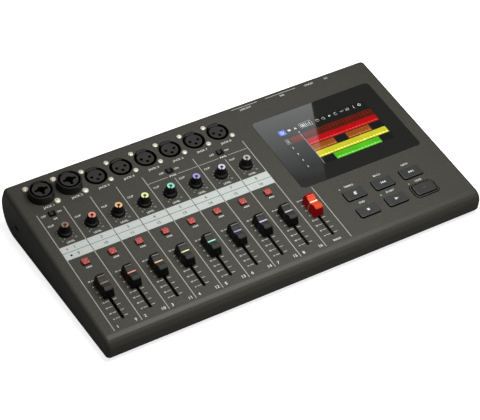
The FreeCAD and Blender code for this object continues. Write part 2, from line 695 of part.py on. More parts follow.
def side_openings():
    """Openings for the sockets in the right end and the lock slot in the left end."""
    holes = []
    for v, width, height, length in ports():
        n1 = BOARD_BOTTOM + PORT_GAP
        n0 = BOARD_BOTTOM - height - PORT_GAP
        holes.append(on_panel(box(CASE_RIGHT - 2 * WALL, CASE_RIGHT + WALL,
                                  v - width / 2 - PORT_GAP, v + width / 2 + PORT_GAP, n0, n1)))
    y = PANEL_Y + LOCK_V * math.cos(SLOPE)
    z = PANEL_Z + LOCK_V * math.sin(SLOPE) - LOCK_BELOW_PANEL
    holes.append(box(CASE_LEFT - WALL, CASE_LEFT + 2 * WALL, y - LOCK_LENGTH / 2,
                     y + LOCK_LENGTH / 2, z - LOCK_HEIGHT / 2, z + LOCK_HEIGHT / 2))
    return holes


def rear_board_span():
    """The rear jack board's front and rear edges."""
    return FACE_Y - WALL - REAR_BOARD_LENGTH, FACE_Y - WALL - SEAT_GAP


def rear_board_top():
    """Height of the rear jack board's upper face, under the jack bodies."""
    return CONNECTOR_Z - JACK_HEIGHT / 2


def make_bottom_case():
    """Lower shell: floor with a locating tongue, stiffening ribs and rear board posts."""
    floor = case_hull().common(box(-CASE_WIDTH, CASE_WIDTH, -CASE_DEPTH, CASE_DEPTH,
                                   0, SPLIT_Z))
    inner = case_cavity().common(box(-CASE_WIDTH, CASE_WIDTH, -CASE_DEPTH, CASE_DEPTH,
                                     0, SPLIT_Z)).BoundBox
    x0, x1 = inner.XMin + SEAT_GAP, inner.XMax - SEAT_GAP
    y0, y1 = inner.YMin + SEAT_GAP, inner.YMax - SEAT_GAP
    top = SPLIT_Z + TONGUE_HEIGHT
    tongue = box(x0, x1, y0, y1, SPLIT_Z, top).cut(
        box(x0 + TONGUE_THICKNESS, x1 - TONGUE_THICKNESS, y0 + TONGUE_THICKNESS,
            y1 - TONGUE_THICKNESS, SPLIT_Z, top))
    pieces = [floor, tongue]
    inset_x = BOSS_INSET + BOSS_RADIUS + RIB_THICKNESS
    for k in range(RIB_COUNT):
        share = (k + 0.5) / RIB_COUNT
        x = CASE_LEFT + inset_x + share * (CASE_WIDTH - 2 * inset_x)
        pieces.append(box(x - RIB_THICKNESS / 2, x + RIB_THICKNESS / 2, y0, y1,
                          SPLIT_Z, SPLIT_Z + RIB_HEIGHT))
    board_front, board_rear = rear_board_span()
    post_y = board_front + REAR_POST_RADIUS + RUN_GAP
    for x in rear_post_x():
        pieces.append(rod(x, post_y, REAR_POST_RADIUS, SPLIT_Z,
                          rear_board_top() - BOARD_THICKNESS))
    shell = join(pieces)
    cuts = []
    for x, y in case_screw_places():
        cuts.append(rod(x, y, SCREW_RADIUS + SCREW_CLEARANCE, 0, SPLIT_Z + WALL))
        cuts.append(rod(x, y, SCREW_HEAD_RADIUS + SCREW_CLEARANCE, 0,
                        CASE_UNDER + SCREW_HEAD_HEIGHT + SCREW_CLEARANCE))
    return shell.cut(Part.makeCompound(cuts))


def rear_post_x():
    """Places of the posts under the rear jack board."""
    return [OUTPUT_X, (VOLUME_X + PHONES_X) / 2, DC_X]


def rear_jack_x():
    """Places of the three 6.35 mm jacks."""
    return [OUTPUT_X, OUTPUT_X + OUTPUT_PITCH, PHONES_X]


def make_feet():
    """Four round rubber feet under the floor."""
    xs = (CASE_LEFT + FOOT_INSET_X, CASE_RIGHT - FOOT_INSET_X)
    ys = (CASE_FRONT + FOOT_INSET_FRONT, CASE_REAR - FOOT_INSET_REAR)
    feet = []
    for x in xs:
        for y in ys:
            foot = Part.makeCone(FOOT_RADIUS - FOOT_TAPER, FOOT_RADIUS, FOOT_HEIGHT, V(x, y, 0))
            feet.append(foot)
    return feet


def pan_screw(x, y, seat, head_radius, head_height, length):
    """A screw whose domed head stands up from its seat and whose shank points down."""
    dome = head_height * SCREW_DOME
    ball = (head_radius ** 2 + dome ** 2) / (2 * dome)
    top = seat + head_height
    half_angle = math.asin(head_radius / ball) / 2
    points = [V(0, 0, seat - length), V(SCREW_RADIUS, 0, seat - length),
              V(SCREW_RADIUS, 0, seat), V(head_radius, 0, seat),
              V(head_radius, 0, top - dome)]
    edges = [Part.makeLine(a, b) for a, b in zip(points, points[1:])]
    middle = V(ball * math.sin(half_angle), 0, top - ball * (1 - math.cos(half_angle)))
    edges.append(Part.Arc(points[-1], middle, V(0, 0, top)).toShape())
    edges.append(Part.makeLine(V(0, 0, top), points[0]))
    screw = Part.Face(Part.Wire(edges)).revolve(V(0, 0, 0), V(0, 0, 1), 360)
    screw.translate(V(x, y, 0))
    return screw


def under_screw(x, y, seat, length):
    """A screw driven upwards, its flat head below its seat."""
    return join([rod(x, y, SCREW_HEAD_RADIUS, seat - SCREW_HEAD_HEIGHT, seat),
                 rod(x, y, SCREW_RADIUS, seat, seat + length)])


def make_case_screws():
    """Screws of the floor and of the two boards below the panel."""
    seat = CASE_UNDER + SCREW_HEAD_HEIGHT
    screws = [under_screw(x, y, seat, SCREW_LENGTH) for x, y in case_screw_places()]
    for x, v in board_posts():
        length = BOARD_THICKNESS + BOARD_DEPTH - WALL - 2 * POST_PILOT_END
        screws.append(on_panel(under_screw(x, v, BOARD_BOTTOM, length)))
    return screws


def make_board(x0, x1, v0, v1, posts):
    """A board with its screw holes, in the panel's frame."""
    board = box(x0, x1, v0, v1, BOARD_BOTTOM, BOARD_TOP)
    holes = [rod(x, v, SCREW_RADIUS + SCREW_CLEARANCE, BOARD_BOTTOM, BOARD_TOP)
             for x, v in posts]
    return board.cut(Part.makeCompound(holes))


def board_rear_v():
    """Rear edge of the boards, ahead of the jack bodies."""
    return JACK_V - MIC_FLANGE / 2 - RUN_GAP


def make_control_board():
    """Board under the faders, buttons, knobs and slide switches."""
    x0 = CHANNEL_X[0] - POT_WIDTH / 2 - 2 * BOARD_MARGIN
    x1 = MASTER_X + UNIT_WIDTH / 2 + BOARD_MARGIN
    return on_panel(make_board(x0, x1, BOARD_FRONT_V, board_rear_v(), board_posts()[:4]))


def make_main_board():
    """Board under the screen and the transport keys, with its larger components."""
    x0 = MASTER_X + UNIT_WIDTH / 2 + 2 * BOARD_EDGE_GAP + BOARD_MARGIN
    x1 = GLASS_X + GLASS_WIDTH
    v1 = board_rear_v()
    board = make_board(x0, x1, BOARD_FRONT_V, v1, board_posts()[4:])
    ear = box(x1, CASE_RIGHT - WALL - RUN_GAP, USB_C_V - USB_C_WIDTH,
              CARD_V + CARD_WIDTH / 2 + BOARD_MARGIN, BOARD_BOTTOM, BOARD_TOP)
    middle_x = (x0 + x1) / 2
    under = BOARD_BOTTOM
    shield = rounded_block(middle_x - CHIP_COLUMN, GLASS_V + SHIELD_UP, SHIELD_WIDTH,
                           SHIELD_LENGTH, SHIELD_CORNER, under - SHIELD_HEIGHT, under)
    memory = block(middle_x - CHIP_COLUMN, GLASS_V + MEMORY_UP, MEMORY_WIDTH, MEMORY_LENGTH,
                   under - MEMORY_HEIGHT, under)
    supply = block(middle_x - SUPPLY_COLUMN, GLASS_V + SUPPLY_UP, SUPPLY_SIZE, SUPPLY_SIZE,
                   under - SUPPLY_HEIGHT, under)
    strip = block(middle_x + PLUG_STRIP_COLUMN, GLASS_V - PLUG_STRIP_DOWN, PLUG_STRIP_LENGTH,
                  PLUG_STRIP_WIDTH, under - PLUG_STRIP_HEIGHT, under)
    return on_panel(join([board, ear, shield, memory, supply, strip]))


def make_jack_boards():
    """Board below the input jacks and board below the rear connectors."""
    top = -SOCKET_DEPTH
    front = box(COMBO_X[0] - JACK_BOARD_SIDE, MIC_X[-1] + JACK_BOARD_SIDE,
                JACK_V - JACK_BOARD_FRONT, JACK_V + JACK_BOARD_REAR, top - BOARD_THICKNESS, top)
    y0, y1 = rear_board_span()
    z1 = rear_board_top()
    rear = box(OUTPUT_X - JACK_WIDTH / 2 - BOARD_MARGIN, DC_X + DC_WIDTH / 2 + 2 * BOARD_MARGIN,
               y0, y1, z1 - BOARD_THICKNESS, z1)
    return [on_panel(front), rear]


def make_combo_jack(x):
    """Combination jack as two solids: a raised collar on its flange, and a housing whose
    insert stands in the collar with the phone-plug bore and three pin holes."""
    floor = -COMBO_GROOVE_DEPTH
    flange = rounded_block(x, JACK_V, 2 * (COMBO_SCREW_X + FLANGE_SCREW_WALL + COMBO_FLANGE_MARGIN),
                           2 * (COMBO_SCREW_V + FLANGE_SCREW_WALL + COMBO_FLANGE_MARGIN),
                           FLANGE_SCREW_WALL, -WALL - FLANGE_THICKNESS, -WALL)
    collar = Part.makeCone(COLLAR_BASE_RADIUS, COLLAR_TOP_RADIUS, COLLAR_HEIGHT, V(x, JACK_V, 0))
    neck = rod(x, JACK_V, COLLAR_BASE_RADIUS, floor, 0)
    outer = round_top(join([neck, collar]), COLLAR_HEIGHT, COLLAR_ROUND)
    groove = rod(x, JACK_V, PLUG_BORE_RADIUS, floor, COLLAR_HEIGHT)
    top = COLLAR_HEIGHT - COMBO_INSERT_DROP
    key_v = JACK_V + COMBO_INSERT_RADIUS + COMBO_KEY_GAP
    key = box(x - COMBO_KEY_WIDTH / 2, x + COMBO_KEY_WIDTH / 2, key_v, key_v + COMBO_KEY_DEPTH,
              floor, top)
    screws = [rod(sx, sv, SCREW_RADIUS + SCREW_CLEARANCE, -SCREW_LENGTH - WALL, 0)
              for sx, sv in combo_screws(x)]
    shell = join([flange, outer]).cut(Part.makeCompound([groove] + screws))
    shell = join([shell, key])
    housing = block(x, JACK_V, COMBO_HOUSING_SIDE, COMBO_HOUSING_SIDE, -SOCKET_DEPTH, floor)
    insert = rod(x, JACK_V, COMBO_INSERT_RADIUS, floor, top)
    bore = rod(x, JACK_V, PHONE_BORE_RADIUS, -COMBO_JACK_DEPTH, top)
    pins = [rod(x + px, JACK_V + pv, PIN_HOLE_RADIUS, top - PIN_HOLE_DEPTH, top)
            for px, pv in pin_places(COMBO_PIN_CIRCLE)]
    core = join([housing, insert]).cut(Part.makeCompound([bore] + pins))
    return [on_panel(shell), on_panel(core)]


def pin_places(radius):
    """Left, right and near pin holes of a three-pin socket."""
    return [(-radius, 0), (radius, 0), (0, -radius)]


def make_mic_socket(x):
    """Flush three-pin socket as three solids: a plug tube with its flange and latch pocket, a
    contact housing, and the insert that stands on the housing in the tube."""
    floor = -SOCKET_BORE_DEPTH
    flange = block(x, JACK_V, MIC_FLANGE, MIC_FLANGE, -WALL - FLANGE_THICKNESS, -WALL)
    tube = rod(x, JACK_V, PLUG_BORE_RADIUS + SOCKET_WALL, floor, -WALL)
    rim = rod(x, JACK_V, PLUG_BORE_RADIUS + SOCKET_TUBE, -WALL, -SOCKET_TOP)
    bore = rod(x, JACK_V, PLUG_BORE_RADIUS, floor, 0)
    pocket = latch_sector(x, LATCH_GAP, -LATCH_DEPTH - LATCH_TRAVEL - LATCH_GAP, 0)
    screws = [rod(sx, sv, SCREW_RADIUS + SCREW_CLEARANCE, -SCREW_LENGTH - WALL, 0)
              for sx, sv in mic_screws(x)]
    shell = join([flange, tube, rim]).cut(Part.makeCompound([bore, pocket] + screws))
    housing = block(x, JACK_V, MIC_FLANGE - 2 * HOUSING_INSET, MIC_FLANGE - 2 * HOUSING_INSET,
                    -SOCKET_DEPTH, floor)
    insert = rod(x, JACK_V, INSERT_RADIUS, floor, -INSERT_DROP)
    pins = [rod(x + px, JACK_V + pv, PIN_HOLE_RADIUS, -INSERT_DROP - PIN_HOLE_DEPTH, -INSERT_DROP)
            for px, pv in pin_places(PIN_CIRCLE)]
    insert = insert.cut(Part.makeCompound(pins))
    return [on_panel(shell), on_panel(housing), on_panel(insert)]


def make_latch(x):
    """Latch tab that is pressed down to free a plug."""
    tab = latch_sector(x, 0, -LATCH_DEPTH, LATCH_RISE)
    return on_panel(round_top(tab, LATCH_RISE, LATCH_ROUND))


def make_jack_screws():
    """Silver pan-head screws of all eight jacks."""
    screws = []
    for x in COMBO_X:
        screws += [pan_screw(sx, sv, 0, COMBO_SCREW_HEAD_RADIUS, COMBO_SCREW_HEAD_HEIGHT,
                             SCREW_LENGTH) for sx, sv in combo_screws(x)]
    for x in MIC_X:
        screws += [pan_screw(sx, sv, 0, MIC_SCREW_HEAD_RADIUS, MIC_SCREW_HEAD_HEIGHT,
                             SCREW_LENGTH) for sx, sv in mic_screws(x)]
    return [on_panel(screw) for screw in screws]


def make_fader_unit(x):
    """Folded-sheet fader track with its slot and the carriage's channel."""
    slot = FADER_TRAVEL + LEVER_LENGTH + 2 * LEVER_END_GAP
    channel = FADER_TRAVEL + CARRIAGE_LENGTH + 2 * LEVER_END_GAP
    length = channel + 2 * UNIT_SHEET + 2 * (UNIT_END - CARRIAGE_LENGTH / 2)
    middle = (FADER_LOW_V + FADER_HIGH_V) / 2
    track = block(x, middle, UNIT_WIDTH, length, BOARD_TOP, -UNIT_TOP)
    space = block(x, middle, CARRIAGE_WIDTH + 2 * RUN_GAP, channel, BOARD_TOP + UNIT_SHEET,
                  -UNIT_TOP - UNIT_SHEET)
    gap = block(x, middle, LEVER_THICKNESS + 2 * RUN_GAP, slot, -UNIT_TOP - 2 * UNIT_SHEET,
                -UNIT_TOP)
    return on_panel(track.cut(Part.makeCompound([space, gap])))


def make_fader(x):
    """Fader cap with a hollow skirt and a dished top, on its lever and carriage."""
    half_base, half_end = CAP_BASE_LENGTH / 2, CAP_END_LENGTH / 2
    ridge = CAP_RIDGE_SPAN / 2
    corners = [V(0, -half_base, CAP_LIFT), V(0, -half_end, CAP_END_HEIGHT),
               V(0, -ridge, CAP_RIDGE_HEIGHT)]
    mirrored = [V(0, -p.y, p.z) for p in reversed(corners)]
    edges = [Part.makeLine(corners[0], corners[1]), Part.makeLine(corners[1], corners[2]),
             Part.Arc(corners[2], V(0, 0, CAP_WAIST_HEIGHT), mirrored[0]).toShape(),
             Part.makeLine(mirrored[0], mirrored[1]), Part.makeLine(mirrored[1], mirrored[2]),
             Part.makeLine(mirrored[2], corners[0])]
    side = Part.Face(Part.Wire(edges)).extrude(V(CAP_BASE_WIDTH, 0, 0))
    side.translate(V(-CAP_BASE_WIDTH / 2, 0, 0))
    half_wide, half_top = CAP_BASE_WIDTH / 2, CAP_TOP_WIDTH / 2
    trapezium = [V(-half_wide, -half_base, CAP_LIFT), V(-half_top, -half_base, CAP_RIDGE_HEIGHT),
                 V(half_top, -half_base, CAP_RIDGE_HEIGHT), V(half_wide, -half_base, CAP_LIFT)]
    front = Part.Face(Part.makePolygon(trapezium + trapezium[:1])).extrude(
        V(0, CAP_BASE_LENGTH, 0))
    cap = side.common(front)
    lean = [e for e in cap.Edges if e.BoundBox.ZLength > CAP_END_HEIGHT / 2]
    cap = cap.makeFillet(CAP_CORNER, lean)
    mark = block(0, 0, CAP_BASE_WIDTH, CAP_LINE_WIDTH, CAP_WAIST_HEIGHT - CAP_LINE_DEPTH,
                 CAP_RIDGE_HEIGHT)
    pocket = block(0, 0, CAP_TOP_WIDTH - CAP_WALL, CAP_END_LENGTH - 2 * CAP_WALL, 0,
                   CAP_POCKET_HEIGHT)
    cap = cap.cut(Part.makeCompound([mark, pocket]))
    lever = block(0, 0, LEVER_THICKNESS, LEVER_LENGTH, -LEVER_FOOT, CAP_POCKET_HEIGHT + LEVER_ROOT)
    carriage = block(0, 0, CARRIAGE_WIDTH, CARRIAGE_LENGTH, -LEVER_FOOT,
                     -LEVER_FOOT + CARRIAGE_HEIGHT)
    fader = join([cap, lever, carriage])
    fader.translate(V(x, FADER_REST_V, 0))
    return on_panel(fader)


def make_knob():
    """Gain knob with flange, tapered grip, ringed top and pointer notch, on its shaft."""
    flange_top = KNOB_LIFT + KNOB_FLANGE_HEIGHT
    shoulder = KNOB_HEIGHT - KNOB_CROWN
    rim = KNOB_TOP_RADIUS - KNOB_CROWN
    lip = KNOB_FLANGE_RADIUS - KNOB_FLANGE_LEAN
    outline = [(0, -SHAFT_DEPTH), (SHAFT_RADIUS, -SHAFT_DEPTH), (SHAFT_RADIUS, KNOB_LIFT),
               (KNOB_FLANGE_RADIUS, KNOB_LIFT), (lip, flange_top - KNOB_FLANGE_CHAMFER),
               (lip - KNOB_FLANGE_CHAMFER, flange_top), (KNOB_BASE_RADIUS, flange_top),
               (KNOB_TOP_RADIUS, shoulder), (rim + KNOB_EDGE, KNOB_HEIGHT),
               (rim - KNOB_RING_WIDTH + KNOB_DISH_LEAN, KNOB_HEIGHT),
               (rim - KNOB_RING_WIDTH, KNOB_HEIGHT - KNOB_DISH), (0, KNOB_HEIGHT - KNOB_DISH)]
    points = [V(r, 0, n) for r, n in outline]
    section = Part.Face(Part.makePolygon(points + points[:1]))
    knob = section.revolve(V(0, 0, 0), V(0, 0, 1), 360)
    notch = box(0, KNOB_BASE_RADIUS, -POINTER_WIDTH / 2, POINTER_WIDTH / 2,
                KNOB_HEIGHT - KNOB_DISH, KNOB_HEIGHT)
    notch.rotate(V(0, 0, 0), V(0, 0, 1), POINTER_ANGLE)
    return knob.cut(notch)


def place(shape, x, v):
    """Set a panel piece drawn about its own axis at its place on the panel."""
    moved = shape.copy()
    moved.translate(V(x, v, 0))
    return on_panel(moved)


def make_pot():
    """Potentiometer body and bush, drawn about its shaft."""
    body = block(0, 0, POT_WIDTH, POT_LENGTH, BOARD_TOP, -UNIT_TOP)
    bush = rod(0, 0, BUSH_RADIUS, -UNIT_TOP, -BUSH_TOP)
    bore = rod(0, 0, SHAFT_RADIUS + SHAFT_CLEARANCE, -SHAFT_DEPTH - RUN_GAP, 0)
    return join([body, bush]).cut(bore)


def make_volume_pot():
    """Headphone volume potentiometer behind the connector face."""
    face = FACE_Y - WALL
    z = CONNECTOR_Z
    body = box(VOLUME_X - POT_WIDTH / 2, VOLUME_X + POT_WIDTH / 2, face - VOLUME_POT_LENGTH,
               face - SEAT_GAP, rear_board_top(), z + POT_WIDTH / 2)
    bush = rod_back(VOLUME_X, z, BUSH_RADIUS, face - SEAT_GAP, FACE_Y - BUSH_TOP)
    bore = rod_back(VOLUME_X, z, SHAFT_RADIUS + SHAFT_CLEARANCE,
                    face - VOLUME_POT_LENGTH / 2 - RUN_GAP, FACE_Y)
    return join([body, bush]).cut(bore)


def make_volume_knob():
    """Headphone volume knob on its shaft, with grip flats and a pointer notch."""
    start = FACE_Y + VOLUME_KNOB_GAP
    end = CASE_REAR + VOLUME_KNOB_OVERHANG
    z = CONNECTOR_Z
    grip = Part.makeCone(VOLUME_KNOB_RADIUS, VOLUME_KNOB_TOP_RADIUS, end - start,
                         V(VOLUME_X, start, z), V(0, 1, 0))
    rim = [e for e in grip.Edges if e.BoundBox.YLength < 1e-6 and e.BoundBox.YMax > end - 1e-6]
    grip = grip.makeFillet(VOLUME_KNOB_ROUND, rim)
    shaft = rod_back(VOLUME_X, z, SHAFT_RADIUS, FACE_Y - WALL - VOLUME_POT_LENGTH / 2, start)
    knob = join([grip, shaft])
    notch = box(VOLUME_X - POINTER_WIDTH / 2, VOLUME_X + POINTER_WIDTH / 2,
                end - VOLUME_NOTCH_LENGTH, end, z + VOLUME_NOTCH_START, z + VOLUME_KNOB_RADIUS)
    return knob.cut(notch)


def make_button(width, length, corner, height, travel, stem):
    """A button or key: rounded cap, lip under the panel and stem above its switch."""
    lip_top = -WALL - LIP_GAP
    cap = rounded_block(0, 0, width, length, corner, lip_top, height)
    cap = round_top(cap, height, KEY_EDGE_ROUND)
    lip = block(0, 0, width + 2 * BUTTON_LIP, length + 2 * BUTTON_LIP,
                lip_top - BUTTON_LIP_HEIGHT, lip_top)
    post = rod(0, 0, stem, TACT_TOP + travel + PRESS_CLEARANCE, lip_top - BUTTON_LIP_HEIGHT)
    return join([cap, lip, post])


def make_tact():
    """Push switch under a button, drawn about its plunger."""
    body = block(0, 0, TACT_SIZE, TACT_SIZE, BOARD_TOP, BOARD_TOP + TACT_HEIGHT)
    pin = rod(0, 0, TACT_PIN_RADIUS, BOARD_TOP + TACT_HEIGHT, TACT_TOP)
    return join([body, pin])


def make_slider_body():
    """Slide switch housing just below the panel, with the lever's channel."""
    top = -WALL - LIP_GAP
    body = block(0, 0, SLIDER_BODY_X, SLIDER_BODY_V, BOARD_TOP, top)
    channel = block(0, 0, SLIDER_WIDTH + SLIDER_TRAVEL + 2 * RUN_GAP,
                    SLIDER_LENGTH + 2 * RUN_GAP, -SLIDER_FOOT - RUN_GAP, top)
    return body.cut(channel)


def make_slider():
    """Slide switch lever, at rest at the left end of its channel."""
    lever = block(-SLIDER_TRAVEL / 2, 0, SLIDER_WIDTH, SLIDER_LENGTH, -SLIDER_FOOT,
                  SLIDER_HEIGHT)
    return round_top(lever, SLIDER_HEIGHT, KEY_EDGE_ROUND)


def make_power_body():
    """Power switch housing before the connector face."""
    face = FACE_Y - WALL
    z = CONNECTOR_Z
    side = POWER_OPEN_X / 2 + POWER_BODY_WALL
    body = box(POWER_X - side, POWER_X + side, face - POWER_BODY_LENGTH, face - SEAT_GAP,
               rear_board_top(), z + POWER_OPEN_Z / 2 + POWER_BODY_WALL)
    half = POWER_WIDTH / 2 + POWER_TRAVEL / 2 + RUN_GAP
    channel = box(POWER_X - half, POWER_X + half, face - POWER_BODY_LENGTH / 2 - RUN_GAP, face,
                  z - POWER_HEIGHT / 2 - RUN_GAP, z + POWER_HEIGHT / 2 + RUN_GAP)
    return body.cut(channel)


def make_power_slider():
    """Power switch lever, at rest at the off end."""
    x = POWER_X - POWER_TRAVEL / 2
    z = CONNECTOR_Z
    end = FACE_Y + POWER_OUT
    lever = box(x - POWER_WIDTH / 2, x + POWER_WIDTH / 2, FACE_Y - WALL - POWER_BODY_LENGTH / 2,
                end, z - POWER_HEIGHT / 2, z + POWER_HEIGHT / 2)
    rim = [e for e in lever.Edges if e.BoundBox.YMin > end - 1e-6]
    return lever.makeFillet(KEY_EDGE_ROUND, rim)


def make_rear_jack(x):
    """6.35 mm jack: body on its board, threaded nose through the face, hex nut outside."""
    face = FACE_Y - WALL - SEAT_GAP
    z = CONNECTOR_Z
    body = box(x - JACK_WIDTH / 2, x + JACK_WIDTH / 2, face - JACK_LENGTH, face,
               rear_board_top(), z + JACK_HEIGHT / 2)
    nose_end = FACE_Y + JACK_NUT_THICKNESS + JACK_NOSE_END
    nose = rod_back(x, z, JACK_THREAD_RADIUS, face, nose_end)
    corners = [V(x + JACK_NUT_RADIUS * math.cos(math.radians(60 * k)), FACE_Y,
                 z + JACK_NUT_RADIUS * math.sin(math.radians(60 * k))) for k in range(7)]
    nut = Part.Face(Part.makePolygon(corners)).extrude(V(0, JACK_NUT_THICKNESS, 0))
    bore = rod_back(x, z, PHONE_BORE_RADIUS, face - JACK_LENGTH + JACK_TIP_GAP, nose_end)
    return join([body, nose, nut]).cut(bore)


def make_dc_inlet():
    """DC inlet with its round opening and centre pin."""
    z = CONNECTOR_Z
    mouth = FACE_Y - DC_DROP
    back = mouth - DC_LENGTH
    x0, x1 = DC_X - DC_WIDTH / 2, DC_X + DC_WIDTH / 2
    nose = box(x0, x1, back, mouth, z - DC_HEIGHT / 2, z + DC_HEIGHT / 2)
    base = box(x0, x1, back, FACE_Y - WALL - SEAT_GAP, rear_board_top(), z)
    bore = rod_back(DC_X, z, DC_BORE_RADIUS, back + WALL, mouth).cut(
        rod_back(DC_X, z, DC_PIN_RADIUS, back + WALL, mouth - DC_PIN_DROP))
    return join([nose, base]).cut(bore)


def make_port(v, width, height, length, tongue):
    """Side socket: sheet shell with its contact tongue."""
    mouth = CASE_RIGHT - PORT_DROP
    top = BOARD_BOTTOM
    shell = box(mouth - length, mouth, v - width / 2, v + width / 2, top - height, top)
    space = box(mouth - length + PORT_BACK, mouth, v - width / 2 + SHEET, v + width / 2 - SHEET,
                top - height + SHEET, top - SHEET)
    if tongue > 0:
        middle = top - height / 2
        side = width / 2 - SHEET - TONGUE_GAP
        space = space.cut(box(mouth - length, mouth - TONGUE_DROP, v - side, v + side,
                              middle - tongue / 2, middle + tongue / 2))
    return on_panel(shell.cut(space))


def main():
    """Build every node and write its file."""
    os.makedirs("parts", exist_ok=True)
    save("top_case", [make_top_case()])
    save("bottom_case", [make_bottom_case()])
    save("feet", make_feet())
    save("case_screws", make_case_screws())

    glass = rounded_block(GLASS_X + GLASS_WIDTH / 2, GLASS_V + GLASS_HEIGHT / 2,
                          GLASS_WIDTH - 2 * GLASS_GAP, GLASS_HEIGHT - 2 * GLASS_GAP,
                          GLASS_CORNER - GLASS_GAP, -GLASS_THICKNESS, 0)
    save("display_glass", [on_panel(glass)])
    save("lcd_module", [on_panel(module_box(0, -GLASS_THICKNESS - MODULE_THICKNESS,
                                            -GLASS_THICKNESS))])
    save("control_board", [make_control_board()])
    save("main_board", [make_main_board()])
    save("jack_boards", make_jack_boards())

    save("combo_jacks", [solid for x in COMBO_X for solid in make_combo_jack(x)])
    save("xlr_jacks", [solid for x in MIC_X for solid in make_mic_socket(x)])
    save("jack_screws", make_jack_screws())
    for k, x in enumerate(MIC_X):
        save("xlr_latch_%d" % (k + 3), [make_latch(x)])

    save("fader_units", [make_fader_unit(x) for x in CHANNEL_X + [MASTER_X]])
    for k, x in enumerate(CHANNEL_X):
        save("fader_%d" % (k + 1), [make_fader(x)])
    save("master_fader", [make_fader(MASTER_X)])

    knob = make_knob()
    for k, x in enumerate(CHANNEL_X):
        save("gain_knob_%d" % (k + 1), [place(knob, x, KNOB_V)])
    pot = make_pot()
    save("pots", [place(pot, x, KNOB_V) for x in CHANNEL_X] + [make_volume_pot()])
    save("volume_knob", [make_volume_knob()])

    arm = make_button(ARM_SIZE, ARM_SIZE, ARM_CORNER, ARM_HEIGHT, ARM_TRAVEL, ARM_STEM_RADIUS)
    for k, x in enumerate(CHANNEL_X):
        save("rec_button_%d" % (k + 1), [place(arm, x, ARM_V)])
    key = make_button(KEY_WIDTH, KEY_LENGTH, KEY_CORNER, KEY_HEIGHT, KEY_TRAVEL,
                      KEY_STEM_RADIUS)
    names = ["metronome_key", "rewind_key", "forward_key", "stop_key", "play_key", "record_key"]
    for name, (x, v) in zip(names, key_places()):
        save(name, [place(key, x, v)])

    slider = make_slider()
    for k, channel in enumerate(SLIDER_CHANNELS):
        save("input_slider_%d" % (k + 1), [place(slider, slider_x(channel), SLIDER_V)])
    save("power_slider", [make_power_slider()])
    tact = make_tact()
    switches = [place(tact, x, ARM_V) for x in CHANNEL_X]
    switches += [place(tact, x, v) for x, v in key_places()]
    housing = make_slider_body()
    switches += [place(housing, slider_x(c), SLIDER_V) for c in SLIDER_CHANNELS]
    save("switch_bodies", switches + [make_power_body()])

    save("rear_jacks", [make_rear_jack(x) for x in rear_jack_x()])
    tongues = [USB_A_TONGUE, USB_C_TONGUE, 0]
    sockets = [make_port(*port, tongue) for port, tongue in zip(ports(), tongues)]
    save("port_sockets", [make_dc_inlet()] + sockets)
    save("status_leds", [on_panel(rod(x, v, LAMP_RADIUS, BOARD_TOP, LAMP_RISE))
                         for x, v in lamp_places()])


main()
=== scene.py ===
"""Looks of a digital multitrack recorder: a charcoal desk unit with faders, jacks and a lit screen.

Sizes on the sloped panel are millimetres in the panel's own frame: x to the right, v up the
slope from the front ends of the channel lines, n square out of the panel.
"""

from __future__ import annotations

import json
import logging
import math
from collections.abc import Callable
from dataclasses import dataclass, field
from enum import Enum
from functools import lru_cache

import bmesh
import bpy
import numpy as np
from bpy.types import ID, Curve, Material, Mesh, Node, NodeSocket, NodeTree, Object
from mathutils import Matrix, Vector

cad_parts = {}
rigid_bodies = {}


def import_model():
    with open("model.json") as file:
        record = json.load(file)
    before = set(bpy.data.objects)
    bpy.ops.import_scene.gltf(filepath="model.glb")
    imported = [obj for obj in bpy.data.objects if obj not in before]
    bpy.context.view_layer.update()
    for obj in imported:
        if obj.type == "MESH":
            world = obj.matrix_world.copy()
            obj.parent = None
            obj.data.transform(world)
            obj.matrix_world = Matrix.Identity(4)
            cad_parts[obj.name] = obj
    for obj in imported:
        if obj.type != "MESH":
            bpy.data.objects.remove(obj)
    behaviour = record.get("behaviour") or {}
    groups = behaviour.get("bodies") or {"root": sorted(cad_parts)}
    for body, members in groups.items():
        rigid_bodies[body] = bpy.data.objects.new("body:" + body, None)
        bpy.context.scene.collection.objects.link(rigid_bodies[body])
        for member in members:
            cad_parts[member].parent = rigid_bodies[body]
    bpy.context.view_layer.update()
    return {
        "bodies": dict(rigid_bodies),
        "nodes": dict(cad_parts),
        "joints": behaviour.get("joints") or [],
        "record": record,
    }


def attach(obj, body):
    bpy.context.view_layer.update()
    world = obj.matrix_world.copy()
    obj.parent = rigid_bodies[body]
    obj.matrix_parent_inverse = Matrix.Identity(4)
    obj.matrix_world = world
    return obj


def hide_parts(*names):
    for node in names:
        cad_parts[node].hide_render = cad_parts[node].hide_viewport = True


LOG = logging.getLogger("recorder")
MM = 0.001
CASE = "case"
CAD_SHARP_DEG = 30.0

Pair = tuple[float, float]
Place = tuple[float, float, float]
Colour = tuple[float, float, float, float]


# Places on the panel


